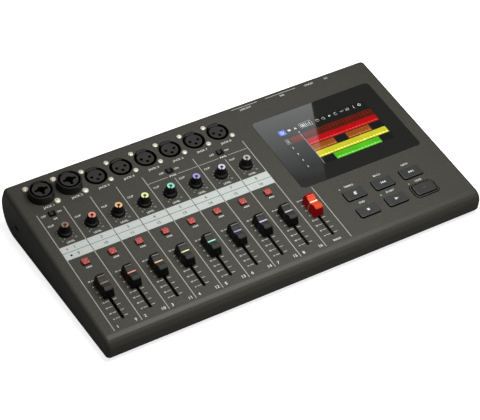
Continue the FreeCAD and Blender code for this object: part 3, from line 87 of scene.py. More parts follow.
@dataclass(frozen=True)
class Layout:
    """Where things are on the sloped panel, in millimetres."""

    slope: float = math.radians(8.2)
    origin: Place = (0.0, -93.4, 25.3)
    first_line: float = -176.8
    pitch: float = 25.8
    channels: int = 8
    fader_low: float = 11.2
    fader_travel: float = 45.0
    fader_steps: int = 7
    fader_rest_step: int = 5
    arm_v: float = 77.3
    knob_v: float = 115.0
    slider_v: float = 139.8
    jack_v: float = 163.2
    combo_first: float = 14.2
    combo_pitch: float = 27.3
    socket_first: float = 26.3
    socket_screw: float = 13.86     # from a flush jack's middle to its screws, on the diagonal
    screw_room: float = 2.4
    socket_gap: float = 0.45
    glass_x: float = 47.3
    glass_v: float = 67.0
    glass_width: float = 128.0
    glass_height: float = 91.5
    key_first: Pair = (38.2, -26.0)      # from the glass's lower left corner
    key_pitch: Pair = (30.05, 21.9)

    def line(self, k: float) -> float:
        """Separator line k, counted from 0 at the left."""
        return self.first_line + k * self.pitch

    def channel(self, k: int) -> float:
        """Middle of channel k, counted from 0; the master is channel 8."""
        return self.line(k + 0.5)

    @property
    def fader_rest(self) -> float:
        """Fader caps' place at rest, on the scale's zero mark."""
        return self.fader_low + self.fader_travel * self.fader_rest_step / self.fader_steps

    def combos(self) -> list[float]:
        """Middles of the two raised jacks."""
        return [self.first_line + self.combo_first + self.combo_pitch * k for k in range(2)]

    def sockets(self) -> list[float]:
        """Middles of the six flush jacks, as close as their screws allow."""
        step = 2 * (self.socket_screw / math.sqrt(2) + self.screw_room) + self.socket_gap
        return [self.combos()[1] + self.socket_first + step * k for k in range(6)]

    def keys(self) -> list[Pair]:
        """Middles of the six transport keys, upper row first."""
        left, top = self.glass_x + self.key_first[0], self.glass_v + self.key_first[1]
        return [(left + self.key_pitch[0] * column, top - self.key_pitch[1] * row)
                for row in range(2) for column in range(3)]

    def switches(self) -> list[float]:
        """Middles of the three slide switches."""
        return [self.channel(0), self.line(5), self.line(7)]

    @property
    def axes(self) -> np.ndarray:
        """The panel's own x, v and n directions in the frame, one in each row."""
        across, rise = math.cos(self.slope), math.sin(self.slope)
        return np.array([(1, 0, 0), (0, across, rise), (0, -rise, across)])

    def to_world(self, points: np.ndarray) -> np.ndarray:
        """Panel points (x, v, n) in millimetres as frame points in metres, shape (count, 3)."""
        return (points @ self.axes + self.origin) * MM

    def to_panel(self, points: np.ndarray) -> np.ndarray:
        """Frame points in metres as panel points in millimetres, shape (count, 3)."""
        return (points / MM - self.origin) @ self.axes.T


LAYOUT = Layout()


# Colours and nodes


def linear(hex_code: str) -> Colour:
    """Turn an sRGB hex colour into linear red, green, blue and alpha 1.

    Args:
        hex_code: Six hex digits after a hash.

    Returns:
        The linear colour.
    """
    parts = [int(hex_code[i:i + 2], 16) / 255 for i in (1, 3, 5)]
    lin = [p / 12.92 if p <= 0.04045 else ((p + 0.055) / 1.055) ** 2.4 for p in parts]
    return (lin[0], lin[1], lin[2], 1.0)


def add_node(tree: NodeTree, kind: str, values: dict | None = None,
             links: dict | None = None, **settings: object) -> Node:
    """Add a node with its settings, its sockets' own values and its incoming links.

    Args:
        tree: The node tree.
        kind: The node's type name.
        values: Input socket name or index to value.
        links: Input socket name or index to the output socket that feeds it.
        settings: The node's own properties.

    Returns:
        The new node.
    """
    node = tree.nodes.new(kind)
    for key, value in settings.items():
        setattr(node, key, value)
    for key, value in (values or {}).items():
        node.inputs[key].default_value = value
    for key, socket in (links or {}).items():
        tree.links.new(socket, node.inputs[key])
    return node


def new_tree(owner: ID) -> NodeTree:
    """Switch a material's, light's or world's nodes on and empty their tree."""
    owner.use_nodes = True
    owner.node_tree.nodes.clear()
    return owner.node_tree


def put(name: str, data: ID) -> Object:
    """Make an object of some data and put it in the scene."""
    made = bpy.data.objects.new(name, data)
    bpy.context.scene.collection.objects.link(made)
    return made


# Finishes


@dataclass(frozen=True)
class Coat:
    """A material under way: its nodes, its shader, the object's coordinates and its base."""

    tree: NodeTree
    shader: Node
    place: NodeSocket
    colour: str
    roughness: float

    def shade(self, factor: float) -> Colour:
        """The base colour made lighter or darker by a factor in linear light."""
        red, green, blue, alpha = linear(self.colour)
        return (min(red * factor, 1.0), min(green * factor, 1.0), min(blue * factor, 1.0), alpha)

    def noise(self, size_mm: float, detail: float = 2.0, squeeze: float = 1.0) -> NodeSocket:
        """Noise whose blobs are about size_mm across; a squeeze under 1 draws them out along y."""
        place = self.place
        if squeeze != 1.0:
            place = add_node(self.tree, "ShaderNodeMapping", {"Scale": (1.0, squeeze, 1.0)},
                             {"Vector": place}).outputs["Vector"]
        values = {"Scale": 1 / (size_mm * MM), "Detail": detail}
        return add_node(self.tree, "ShaderNodeTexNoise", values, {"Vector": place}).outputs["Fac"]

    def mottle(self, fac: NodeSocket, low: float, high: float) -> None:
        """Vary the base colour between two factors with a pattern."""
        ramp = add_node(self.tree, "ShaderNodeValToRGB", links={"Fac": fac})
        for stop, position, factor in zip(ramp.color_ramp.elements, (0.3, 0.7), (low, high)):
            stop.position = position
            stop.color = self.shade(factor)
        self.tree.links.new(ramp.outputs["Color"], self.shader.inputs["Base Color"])

    def bump(self, height: NodeSocket, depth_mm: float, strength: float = 1.0) -> None:
        """Raise the surface with a pattern, depth_mm from its low to its high."""
        node = add_node(self.tree, "ShaderNodeBump",
                        {"Strength": strength, "Distance": depth_mm * MM}, {"Height": height})
        self.tree.links.new(node.outputs["Normal"], self.shader.inputs["Normal"])

    def roughen(self, fac: NodeSocket, spread: float) -> None:
        """Vary the roughness by a pattern, spread either way."""
        node = add_node(self.tree, "ShaderNodeMapRange", {
            "To Min": self.roughness - spread, "To Max": self.roughness + spread}, {"Value": fac})
        self.tree.links.new(node.outputs["Result"], self.shader.inputs["Roughness"])


@dataclass(frozen=True)
class Finish:
    """A finish of one plain substance; subclasses add what their surface shows."""

    name: str
    colour: str
    roughness: float = 0.5
    ior: float = 1.5
    specular: float = 0.5
    metallic: float = 0.0

    def material(self) -> Material:
        """The finish as a material, made once and then reused."""
        found = bpy.data.materials.get(self.name)
        if found is not None:
            return found
        made = bpy.data.materials.new(self.name)
        tree = new_tree(made)
        shader = add_node(tree, "ShaderNodeBsdfPrincipled", {
            "Base Color": linear(self.colour), "Roughness": self.roughness, "IOR": self.ior,
            "Specular IOR Level": self.specular, "Metallic": self.metallic})
        add_node(tree, "ShaderNodeOutputMaterial", links={"Surface": shader.outputs["BSDF"]})
        place = add_node(tree, "ShaderNodeTexCoord").outputs["Object"]
        self.dress(Coat(tree, shader, place, self.colour, self.roughness))
        made.diffuse_color = linear(self.colour)
        return made

    def dress(self, coat: Coat) -> None:
        """Add the surface's own pattern. The plain finish has none."""


@dataclass(frozen=True)
class MouldedABS(Finish):
    """ABS moulded against a spark-eroded tool: a fine matt grain that breaks up reflections."""

    grain_mm: float = 0.9       # the real 0.15 mm grain can't show at this size
    spread: float = 0.1

    def dress(self, coat: Coat) -> None:
        """Grain in height, a little unevenness in tone and sheen."""
        grain = coat.noise(self.grain_mm, 3.0)
        coat.mottle(grain, 1 - self.spread, 1 + self.spread)
        coat.bump(grain, 0.05, 0.6)
        coat.roughen(coat.noise(45.0), 0.04)


@dataclass(frozen=True)
class SatinPolycarbonate(Finish):
    """Polycarbonate moulded in a vapour-honed tool: smooth satin caps with soft highlights."""

    def dress(self, coat: Coat) -> None:
        """Faint flow marks in tone and in sheen, rubbed by fingers."""
        coat.mottle(coat.noise(3.0, 4.0), 0.9, 1.12)
        coat.roughen(coat.noise(6.0), 0.06)
        coat.bump(coat.noise(0.5), 0.01, 0.5)


@dataclass(frozen=True)
class SiliconeRubber(Finish):
    """Translucent silicone: light spreads inside it and its skin is dull and slightly uneven."""

    depth_mm: float = 0.5
    scatter: float = 0.2
    prism_mm: float = 2.6
    prism_turn_deg: float = 38.0

    def dress(self, coat: Coat) -> None:
        """Scattering under the skin and the crossed prisms of the light guide behind it."""
        coat.shader.inputs["Subsurface Weight"].default_value = self.scatter
        coat.shader.inputs["Subsurface Scale"].default_value = self.depth_mm * MM
        bands = []
        for turn in (self.prism_turn_deg, -self.prism_turn_deg):
            turned_place = add_node(coat.tree, "ShaderNodeMapping", {
                "Rotation": (0.0, 0.0, math.radians(turn))}, {"Vector": coat.place})
            wave = add_node(coat.tree, "ShaderNodeTexWave",
                            {"Scale": math.pi * 100.0 / self.prism_mm},
                            {"Vector": turned_place.outputs["Vector"]})
            bands.append(wave.outputs["Fac"])
        crossed = add_node(coat.tree, "ShaderNodeMath", links={0: bands[0], 1: bands[1]})
        half = add_node(coat.tree, "ShaderNodeMath", {1: 0.5}, {0: crossed.outputs["Value"]},
                        operation="MULTIPLY")
        coat.mottle(half.outputs["Value"], 0.68, 1.4)
        coat.bump(coat.noise(0.6), 0.015, 0.6)


@dataclass(frozen=True)
class ZincPlatedSteel(Finish):
    """Pressed steel with bright zinc: a clean metal with faint drawing marks."""

    def dress(self, coat: Coat) -> None:
        """Marks drawn out along one direction, and slight clouding of the plating."""
        coat.roughen(coat.noise(0.6, 3.0, 0.15), 0.08)
        coat.mottle(coat.noise(2.5), 0.9, 1.06)


@dataclass(frozen=True)
class BlackedGlass(Finish):
    """Toughened cover glass printed black behind: a mirror-smooth face over deep black."""

    def dress(self, coat: Coat) -> None:
        """Thin wipe marks that only change the sheen."""
        coat.roughen(coat.noise(14.0, 4.0, 0.3), 0.01)


@dataclass(frozen=True)
class ScreenLight(Finish):
    """A lit part of the screen: colour that glows a little through the smooth cover glass."""

    roughness: float = 0.03
    glow: float = 0.45

    def dress(self, coat: Coat) -> None:
        """Glow of the colour with the slight unevenness of the back light."""
        coat.mottle(coat.noise(9.0, 3.0), 0.86, 1.12)
        coat.shader.inputs["Emission Color"].default_value = linear(self.colour)
        coat.shader.inputs["Emission Strength"].default_value = self.glow


@dataclass(frozen=True)
class ScreenInk(Finish):
    """Screen-printed ink on the panel: an opaque, slightly uneven matt film."""

    roughness: float = 0.6

    def dress(self, coat: Coat) -> None:
        """Small changes of ink weight from the mesh of the printing screen."""
        weight = coat.noise(0.7, 3.0)
        coat.mottle(weight, 0.88, 1.05)
        coat.bump(weight, 0.01, 0.4)


@dataclass(frozen=True)
class FibreglassBoard(Finish):
    """Circuit board: green solder resist with copper tracks showing as paler lines."""

    track_mm: float = 2.4

    def dress(self, coat: Coat) -> None:
        """Tracks as the edges of square-like cells."""
        cells = add_node(coat.tree, "ShaderNodeTexVoronoi", {"Scale": 1 / (self.track_mm * MM)},
                         {"Vector": coat.place}, distance="MANHATTAN", feature="F1")
        coat.mottle(cells.outputs["Distance"], 0.7, 1.5)


@dataclass(frozen=True)
class FootRubber(Finish):
    """Moulded rubber: dull black with a dusty bloom."""

    def dress(self, coat: Coat) -> None:
        """Bloom as pale clouds, and a pebbled skin."""
        coat.mottle(coat.noise(5.0, 4.0), 0.8, 1.5)
        coat.bump(coat.noise(0.7), 0.03)


class Finishes:
    """Every finish on the recorder that more than one piece can share."""

    CASE = MouldedABS("charcoal_abs", "#3d3c36", 0.45, specular=0.24, spread=0.24)
    CASE_UNDER = MouldedABS("under_abs", "#242422", 0.6, specular=0.3)
    JACK = MouldedABS("jack_nylon", "#191816", 0.45, specular=0.3, grain_mm=1.4)
    # Painted shade: near-black for jack grooves, bores, insert walls and the gaps round keys; the
    # strip's black dot is ink in it.
    BLACK_SHADE_AND_INK = MouldedABS("painted_shade_and_ink_black", "#020202", 0.8, specular=0.02, grain_mm=1.4)
    INSERT = MouldedABS("insert_nylon", "#2a2926", 0.5, specular=0.3, grain_mm=1.4)
    LATCH = MouldedABS("latch_nylon", "#0c0c0b", 0.5, specular=0.3, grain_mm=1.4)
    # Painted highlight: a pale arc at each latch's far rim.
    LATCH_RIM_HIGHLIGHT = MouldedABS("latch_lip", "#5c5e58", 0.4, specular=0.45, grain_mm=1.4)
    FEET = FootRubber("foot_rubber", "#141414", 0.8)
    SCREW = ZincPlatedSteel("bright_zinc", "#dcd6c8", 0.48, metallic=0.35)
    DARK_SCREW = ZincPlatedSteel("black_zinc", "#3a3a3a", 0.4, metallic=1.0)
    SOCKET_STEEL = ZincPlatedSteel("tinned_steel", "#b9b9b6", 0.34, metallic=1.0)
    CAP = SatinPolycarbonate("cap_polycarbonate", "#0a0a0a", 0.45, specular=0.22)
    # Painted light: a lighter tone for the caps' upward faces short of the far ridge, as if lit from
    # above.
    CAP_LIT_TOP = SatinPolycarbonate("cap_painted_lit_top", "#2e2e2b", 0.6, specular=0.2)
    # Painted highlight: a pale strip along the caps' far ridge.
    CAP_RIDGE_HIGHLIGHT = SatinPolycarbonate("cap_painted_ridge_highlight", "#8a8880", 0.55, specular=0.25)
    CAP_RED = SatinPolycarbonate("red_cap_polycarbonate", "#98060e", 0.5, specular=0.15)
    # Painted light on the red cap too: a lighter lit top and a pale ridge highlight.
    CAP_RED_LIT_TOP = SatinPolycarbonate("red_cap_painted_lit_top", "#c8421e", 0.55, specular=0.2)
    CAP_RED_RIDGE_HIGHLIGHT = SatinPolycarbonate("red_cap_painted_ridge_highlight", "#d8785c", 0.55, specular=0.2)
    KNOB = SatinPolycarbonate("knob_elastomer", "#060606", 0.42, specular=0.24)
    KEY = SatinPolycarbonate("key_polycarbonate", "#272927", 0.5, specular=0.4)
    # Painted shade: the keys' walls.
    KEY_WALL_SHADE = SatinPolycarbonate("key_wall_painted_shade", "#060706", 0.6, specular=0.1)
    # Painted highlight: the keys' bevelled top edges.
    KEY_EDGE_HIGHLIGHT = SatinPolycarbonate("key_painted_edge_highlight", "#484a46", 0.45, specular=0.5)
    SLIDER = SatinPolycarbonate("slider_acetal", "#1c1c1c", 0.45)
    SWITCH = MouldedABS("switch_nylon", "#101010", 0.5)
    ARM = SiliconeRubber("red_silicone", "#a3433b", 0.5)
    # Painted shade: the buttons' walls in a darker red.
    ARM_WALL_SHADE = SiliconeRubber("red_silicone_painted_shade", "#4a1410", 0.6, scatter=0.1)
    GLASS = BlackedGlass("blacked_glass", "#1e1f1d", 0.02)
    GLASS_LIT = BlackedGlass("screen_film", "#171817", 0.02)
    INK = ScreenInk("pale_ink", "#ccccc4")
    INK_LINE = ScreenInk("line_ink", "#a3a29b")
    INK_DIM = ScreenInk("grey_ink", "#96968f")
    INK_DARK = ScreenInk("dark_ink", "#4a4d4b")
    INK_RED = ScreenInk("red_ink", "#c8493c")
    INK_RED_DIM = ScreenInk("dim_red_ink", "#542a24")
    STRIP = ScreenInk("write_on_white", "#b6bbb7", 0.5)
    BOARD = FibreglassBoard("fibreglass", "#1c4a2c", 0.45)
    MODULE = Finish("module_frame", "#2a2a2c", 0.4)


# Outlines on the panel


def rays(angle: np.ndarray) -> np.ndarray:
    """Directions of length one at some angles in radians, shape (count, 2)."""
    return np.stack([np.cos(angle), np.sin(angle)], axis=1)


def polar(radius: np.ndarray, angle: np.ndarray, n: np.ndarray) -> np.ndarray:
    """Points (x, v, n) at radii, angles and heights that are broadcast together."""
    return np.stack(np.broadcast_arrays(radius * np.cos(angle), radius * np.sin(angle), n), axis=-1)


def around(count: int) -> np.ndarray:
    """Angles in even steps once round, without the last."""
    return np.linspace(0, 2 * math.pi, count, endpoint=False)


def circle(x: float, v: float, radius: float, count: int = 32) -> np.ndarray:
    """Points round a circle on the panel."""
    return rays(around(count)) * radius + (x, v)


def box(width: float, height: float) -> list[Pair]:
    """Corners of an upright rectangle about the origin."""
    x, v = width / 2, height / 2
    return [(-x, -v), (x, -v), (x, v), (-x, v)]


def band(x: float, v: float, inner: float, outer: float, start_deg: float, end_deg: float,
         count: int = 24) -> np.ndarray:
    """Outline of a stretch of a flat ring: there on the outer circle and back on the inner.

    Args:
        x: The ring's middle along x.
        v: Its middle along v.
        inner: Its inner radius.
        outer: Its outer radius.
        start_deg: Where the stretch starts, from +x towards +v.
        end_deg: Where it ends.
        count: Points on each circle.

    Returns:
        The outline, shape (2 * count, 2).
    """
    ray = rays(np.radians(np.linspace(start_deg, end_deg, count)))
    return np.concatenate([ray * outer, (ray * inner)[::-1]]) + (x, v)


def stroke(start: Pair, end: Pair, width: float) -> np.ndarray:
    """Outline of a straight line of a given width between two places.

    Args:
        start: Where its middle line starts.
        end: Where it ends.
        width: Its width.

    Returns:
        Its four corners, shape (4, 2).
    """
    a, b = np.array(start, dtype=float), np.array(end, dtype=float)
    along = (b - a) / np.linalg.norm(b - a)
    side = np.array([-along[1], along[0]]) * width / 2
    return np.array([a - side, b - side, b + side, a + side])


def outline(width: float, length: float, corner: float, count: int = 40) -> np.ndarray:
    """A rounded rectangle: in each quarter a corner's arc about the inset corner point.

    Args:
        width: Size along x.
        length: Size along v.
        corner: Corner radius.
        count: Points round it, a multiple of four.

    Returns:
        The points, shape (count, 2).
    """
    quarter = count // 4
    angle = (np.arange(4)[:, None] * math.pi / 2 + np.linspace(0, math.pi / 2, quarter)).ravel()
    inset = np.array([width / 2 - corner, length / 2 - corner])
    side = np.repeat([(1, 1), (-1, 1), (-1, -1), (1, -1)], quarter, axis=0)
    return side * inset + corner * rays(angle)


def soften(points: np.ndarray, radius: float, steps: int = 4, closed: bool = False) -> np.ndarray:
    """Round the corners of a line of points.

    Each corner gives way to a quadratic curve that leaves its two sides one radius away, or at
    the side's middle where the side is short.

    Args:
        points: The corners, shape (count, 2).
        radius: How far from the corner the curve starts.
        steps: Points on each curve.
        closed: Whether the last point joins the first.

    Returns:
        The rounded line, shape (more, 2).
    """
    leave = []
    for other in (np.roll(points, 1, axis=0), np.roll(points, -1, axis=0)):
        way = other - points
        length = np.linalg.norm(way, axis=1, keepdims=True)
        leave.append(points + way / length * np.minimum(radius, length / 2))
    t = np.linspace(0, 1, steps)[None, :, None]
    curve = ((1 - t) ** 2 * leave[0][:, None] + 2 * t * (1 - t) * points[:, None]
             + t ** 2 * leave[1][:, None])
    if closed:
        return curve.reshape(-1, 2)
    return np.concatenate([points[:1], curve[1:-1].reshape(-1, 2), points[-1:]])


# Surfaces worked out from formulas


@dataclass
class Shell:
    """Points and faces of one surface, in panel or frame millimetres."""

    points: np.ndarray
    faces: list[list[int]]

    def moved(self, *offset: float) -> Shell:
        """The same surface at another place."""
        return Shell(self.points + np.array(offset), self.faces)

    def turned_up(self) -> Shell:
        """The surface with its own +n turned to the frame's +Y, for pieces of the rear face."""
        x, v, n = self.points.T
        return Shell(np.stack([-x, n, v], axis=1), self.faces)


def merge(shells: list[Shell]) -> Shell:
    """Put several surfaces into one, side by side.

    Args:
        shells: The surfaces.

    Returns:
        One surface with the points and faces of all.
    """
    faces: list[list[int]] = []
    start = 0
    for shell in shells:
        faces += [[i + start for i in face] for face in shell.faces]
        start += len(shell.points)
    return Shell(np.concatenate([shell.points for shell in shells]), faces)


def tube(rings: np.ndarray, ends: bool = False) -> Shell:
    """A surface through closed rings of points, each joined to the next by four-sided faces.

    Args:
        rings: Points of shape (rings, points in a ring, 3).
        ends: Whether the first and the last ring are closed by a face.

    Returns:
        The surface.
    """
    rows, count = rings.shape[:2]
    index = np.arange(rows * count).reshape(rows, count)
    ahead = np.roll(index, -1, axis=1)
    quads = np.stack([index[:-1], ahead[:-1], ahead[1:], index[1:]], axis=-1)
    faces = quads.reshape(-1, 4).tolist()
    if ends:
        faces += [index[0].tolist()[::-1], index[-1].tolist()]
    return Shell(rings.reshape(-1, 3), faces)


def turned(profile: list[Pair], count: int = 48, rounding: float = 0.0,
           flutes: int = 0, flute_mm: float = 0.0,
           flute_span: Pair = (0.0, 0.0)) -> Shell:
    """A surface turned about n: radius and height along the profile, the angle round it.

    Where the height lies in flute_span, the radius also rises and falls as a cosine of
    the flutes times the angle.

    Args:
        profile: Corners (radius, n), from the bottom of the axis to its top.
        count: Points round the axis.
        rounding: Rounding of the profile's corners.
        flutes: Number of flutes.
        flute_mm: Depth of a flute.
        flute_span: Lowest and highest n with flutes.

    Returns:
        The closed surface about the origin.
    """
    line = np.array(profile, dtype=float)
    if rounding > 0:
        line = soften(line, rounding)
    angle = around(count)
    radius, height = (np.repeat(line[:, k:k + 1], count, axis=1) for k in range(2))
    inside = (height > flute_span[0]) & (height < flute_span[1])
    radius = radius - inside * flute_mm * (0.5 + 0.5 * np.cos(flutes * angle))
    return tube(polar(radius, angle, height))


def stacked(rings: list[Pair], width: float, length: float, corner: float,
            count: int = 40, dish: float = 0.0) -> Shell:
    """A surface of rounded-rectangle rings, each inset from the full outline at its height.

    The last ring shrinks to the middle in five steps; over it the height falls by dish as
    one minus the square of the distance from the middle.

    Args:
        rings: Inset and n of each ring, upwards.
        width: Full size along x.
        length: Full size along v.
        corner: Full corner radius.
        count: Points round a ring.
        dish: How far the middle lies below the rim; negative for a crown.

    Returns:
        The closed surface about the origin.
    """
    layers = []
    for inset, n in rings:
        flat = outline(width - 2 * inset, length - 2 * inset, max(corner - inset, 0.05), count)
        layers.append(np.column_stack([flat, np.full(count, n)]))
    rim = layers[-1]
    for share in np.linspace(0.8, 0.0, 5):
        layers.append(rim * (share, share, 1) - (0, 0, dish * (1 - share ** 2)))
    return tube(np.stack([layers[0] * (0, 0, 1)] + layers))


def prism(corners: list[Pair] | np.ndarray, n0: float, n1: float) -> Shell:
    """A flat shape with straight walls from n0 to n1."""
    flat = np.array(corners, dtype=float)
    return tube(np.stack([np.column_stack([flat, np.full(len(flat), n)]) for n in (n0, n1)]), True)


def punched(outer: np.ndarray, holes: list[np.ndarray], n0: float, n1: float) -> Shell:
    """A flat plate with holes right through, filled as a flat curve and then made a mesh.

    Args:
        outer: Its outline, shape (count, 2).
        holes: The holes' outlines.
        n0: Its lower face.
        n1: Its upper face.

    Returns:
        The closed plate.
    """
    curve = bpy.data.curves.new("plate", "CURVE")
    curve.dimensions = "2D"
    curve.fill_mode = "BOTH"
    curve.extrude = (n1 - n0) / 2
    for ring in [outer] + holes:
        spline = curve.splines.new("POLY")
        spline.points.add(len(ring) - 1)
        spline.points.foreach_set("co", np.column_stack(
            [ring, np.zeros(len(ring)), np.ones(len(ring))]).ravel())
        spline.use_cyclic_u = True
    return curve_mesh(curve).moved(0.0, 0.0, (n0 + n1) / 2)


def curve_mesh(curve: Curve) -> Shell:
    """Fill a curve or a text, read its points and faces, and remove it.

    Args:
        curve: The curve, in no scene yet.

    Returns:
        Its surface.
    """
    holder = put("curve", curve)
    mesh = bpy.data.meshes.new_from_object(holder)
    points = np.empty(len(mesh.vertices) * 3)
    mesh.vertices.foreach_get("co", points)
    faces = [list(face.vertices) for face in mesh.polygons]
    bpy.data.objects.remove(holder)
    bpy.data.curves.remove(curve)
    bpy.data.meshes.remove(mesh)
    return Shell(points.reshape(-1, 3), faces)


# Pieces


def weld(mesh: Mesh, reach: float, orient: bool = False) -> None:
    """Join a mesh's close points.

    Args:
        mesh: The mesh.
        reach: Points closer than this are joined.
        orient: Whether faces without area also go and all faces turn outwards.
    """
    work = bmesh.new()
    work.from_mesh(mesh)
    bmesh.ops.remove_doubles(work, verts=work.verts, dist=reach)
    if orient:
        bmesh.ops.dissolve_degenerate(work, dist=1e-8, edges=work.edges)
        bmesh.ops.recalc_face_normals(work, faces=work.faces)
    work.to_mesh(mesh)
    work.free()


def make_piece(name: str, shell: Shell, finish: Finish, body: str = CASE, node: str | None = None,
               on_panel: bool = True,
               sharp_deg: float = 38.0) -> Object:
    """Turn a surface into an object that rides a body.

    Args:
        name: The piece's name.
        shell: Its surface in millimetres.
        finish: Its finish.
        body: The body it moves with.
        node: The node it stands for, if any.
        on_panel: Whether the surface is in the panel's frame rather than the unit's.
        sharp_deg: Edges sharper than this stay crisp.

    Returns:
        The new object, at the origin.
    """
    points = LAYOUT.to_world(shell.points) if on_panel else shell.points * MM
    mesh = bpy.data.meshes.new(name)
    mesh.from_pydata(points.tolist(), [], shell.faces)
    weld(mesh, 1e-7, True)
    return finish_piece(name, mesh, finish, body, node, sharp_deg)


def carry_over(frame: dict, node: str, finish: Finish, body: str = CASE) -> Object:
    """Copy a CAD node, merge its loose triangles and shade its curves smooth.

    Args:
        frame: The loaded frame.
        node: The node's name.
        finish: Its finish.
        body: The body it moves with.

    Returns:
        The copy, which stands for the node.
    """
    mesh = frame["nodes"][node].data.copy()
    mesh.name = node + "_skin"
    weld(mesh, 2e-6)
    return finish_piece(mesh.name, mesh, finish, body, node, CAD_SHARP_DEG)


def finish_piece(name: str, mesh: Mesh, finish: Finish, body: str, node: str | None,
                 sharp_deg: float) -> Object:
    """Shade a mesh smooth between sharp edges, give it its finish and set it on its body.

    Args:
        name: The piece's name.
        mesh: Its mesh.
        finish: Its finish.
        body: The body it moves with.
        node: The node it stands for, if any.
        sharp_deg: Edges sharper than this stay crisp.

    Returns:
        The new object.
    """
    mesh.polygons.foreach_set("use_smooth", np.ones(len(mesh.polygons), dtype=bool))
    mesh.set_sharp_from_angle(angle=math.radians(sharp_deg))
    hold_flats(mesh)
    mesh.materials.clear()
    mesh.materials.append(finish.material())
    piece = put(name, mesh)
    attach(piece, body)
    if node is not None:
        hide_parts(node)
    LOG.info("%s: %d faces on %s", name, len(mesh.polygons), body)
    return piece


def flat_patches(mesh: Mesh) -> tuple[np.ndarray, np.ndarray]:
    """Group touching faces that lie in one plane.

    Args:
        mesh: The mesh.

    Returns:
        For each face, its group's area in square millimetres and its group's normal.
    """
    work = bmesh.new()
    work.from_mesh(mesh)
    work.faces.ensure_lookup_table()
    patch = np.full(len(work.faces), -1)
    areas: list[float] = []
    normals: list[Vector] = []
    for start in work.faces:
        if patch[start.index] >= 0:
            continue
        patch[start.index] = len(areas)
        waiting, total = [start], 0.0
        while waiting:
            face = waiting.pop()
            total += face.calc_area()
            for other in {o for edge in face.edges for o in edge.link_faces}:
                if patch[other.index] < 0 and other.normal.dot(start.normal) > 0.99999:
                    patch[other.index] = len(areas)
                    waiting.append(other)
        areas.append(total / MM ** 2)
        normals.append(start.normal.copy())
    work.free()
    return np.array(areas)[patch], np.array(normals)[patch]


def hold_flats(mesh: Mesh, least_mm2: float = 3.0) -> None:
    """Keep flat faces flat where they run into rounded edges.

    A corner that shares its smooth normal with a flat group of at least least_mm2 takes the
    group's normal, and where two groups meet, the larger one's.

    Args:
        mesh: A mesh with its sharp edges marked.
        least_mm2: Smallest group that counts as a flat.
    """
    area, plane = flat_patches(mesh)
    count = len(mesh.loops)
    smooth = np.empty(count * 3)
    mesh.corner_normals.foreach_get("vector", smooth)
    smooth = smooth.reshape(-1, 3)
    vertex = np.empty(count, dtype=int)
    mesh.loops.foreach_get("vertex_index", vertex)
    sides = np.empty(len(mesh.polygons), dtype=int)
    mesh.polygons.foreach_get("loop_total", sides)
    face = np.repeat(np.arange(len(sides)), sides)
    keys = np.column_stack([vertex, np.round(smooth * 1000)]).astype(np.int64)
    fan = np.unique(keys, axis=0, return_inverse=True)[1].ravel()
    order = np.argsort(area[face], kind="stable")
    largest = np.zeros(fan.max() + 1, dtype=int)
    largest[fan[order]] = order
    owner = face[largest[fan]]
    chosen = np.where(area[owner][:, None] > least_mm2, plane[owner], smooth)
    mesh.normals_split_custom_set(chosen.tolist())


def tint_faces(piece: Object, finish: Finish,
               pick: Callable[[np.ndarray, np.ndarray], np.ndarray]) -> None:
    """Give some of a piece's faces a second finish.

    Args:
        piece: The piece.
        finish: The second finish.
        pick: Tells from the faces' middles and normals in the panel's frame which they are.
    """
    mesh = piece.data
    middles, normals = np.empty((2, len(mesh.polygons), 3))
    mesh.polygons.foreach_get("center", middles.ravel())
    mesh.polygons.foreach_get("normal", normals.ravel())
    index = np.empty(len(mesh.polygons), dtype=np.int32)
    mesh.polygons.foreach_get("material_index", index)
    index[pick(LAYOUT.to_panel(middles), normals @ LAYOUT.axes.T)] = len(mesh.materials)
    mesh.materials.append(finish.material())
    mesh.polygons.foreach_set("material_index", index)


# Printing


class Align(Enum):
    """Which part of a word its place is."""

    MIDDLE = "CENTER"
    RIGHT = "RIGHT"


@lru_cache(maxsize=None)
def glyphs(text: str, align: Align) -> Shell:
    """A word as a solid one unit in size, with its strokes widened a little.

    Args:
        text: The word.
        align: Which part of it lies at the origin.

    Returns:
        Its surface.
    """
    curve = bpy.data.curves.new("word", "FONT")
    curve.body = text
    curve.align_x = align.value
    curve.size = 1.0
    curve.extrude = 0.01
    curve.offset = 0.02
    curve.resolution_u = 3
    return curve_mesh(curve)


@dataclass
class Printing:
    """Ink of one colour on the panel: lines, dots and characters, printed as one thin film."""

    name: str
    finish: Finish
    film: float = 0.05
    height: float = 0.0
    capital: float = 0.7        # height of a capital in the font's own size
    shells: list[Shell] = field(default_factory=list)

    def shape(self, corners: list[Pair] | np.ndarray, x: float = 0.0,
              v: float = 0.0) -> None:
        """A flat shape, its corners given from its own middle."""
        self.shells.append(prism(np.array(corners) + (x, v), self.height, self.height + self.film))

    def line(self, x0: float, v0: float, x1: float, v1: float, width: float) -> None:
        """A straight line."""
        self.shape(stroke((x0, v0), (x1, v1), width))

    def dot(self, x: float, v: float, radius: float, count: int = 14) -> None:
        """A round dot."""
        self.shape(circle(x, v, radius, count))

    def arc(self, x: float, v: float, radius: float, width: float, start_deg: float,
            end_deg: float, count: int = 24) -> None:
        """A band along a circle."""
        self.shape(band(x, v, radius - width / 2, radius + width / 2, start_deg, end_deg, count))

    def word(self, text: str, x: float, v: float, tall: float, stretch: float = 1.0,
             align: Align = Align.MIDDLE) -> None:
        """A word or number whose capitals are tall millimetres high, v at their middle.

        Args:
            text: What is printed.
            x: Its place along x.
            v: Its middle along v.
            tall: Height of a capital.
            stretch: Factor on its width.
            align: Which end x is.
        """
        unit = glyphs(text, align)
        size = tall / self.capital
        n = np.where(unit.points[:, 2] > 0, self.height + self.film, self.height)
        self.shells.append(Shell(np.column_stack([
            unit.points[:, 0] * size * stretch + x, unit.points[:, 1] * size + v - tall / 2, n]),
            unit.faces))

    def build(self, body: str = CASE) -> Object:
        """Make the printed film one piece."""
        return make_piece(self.name, merge(self.shells), self.finish, body, sharp_deg=20.0)


# Sub-assemblies


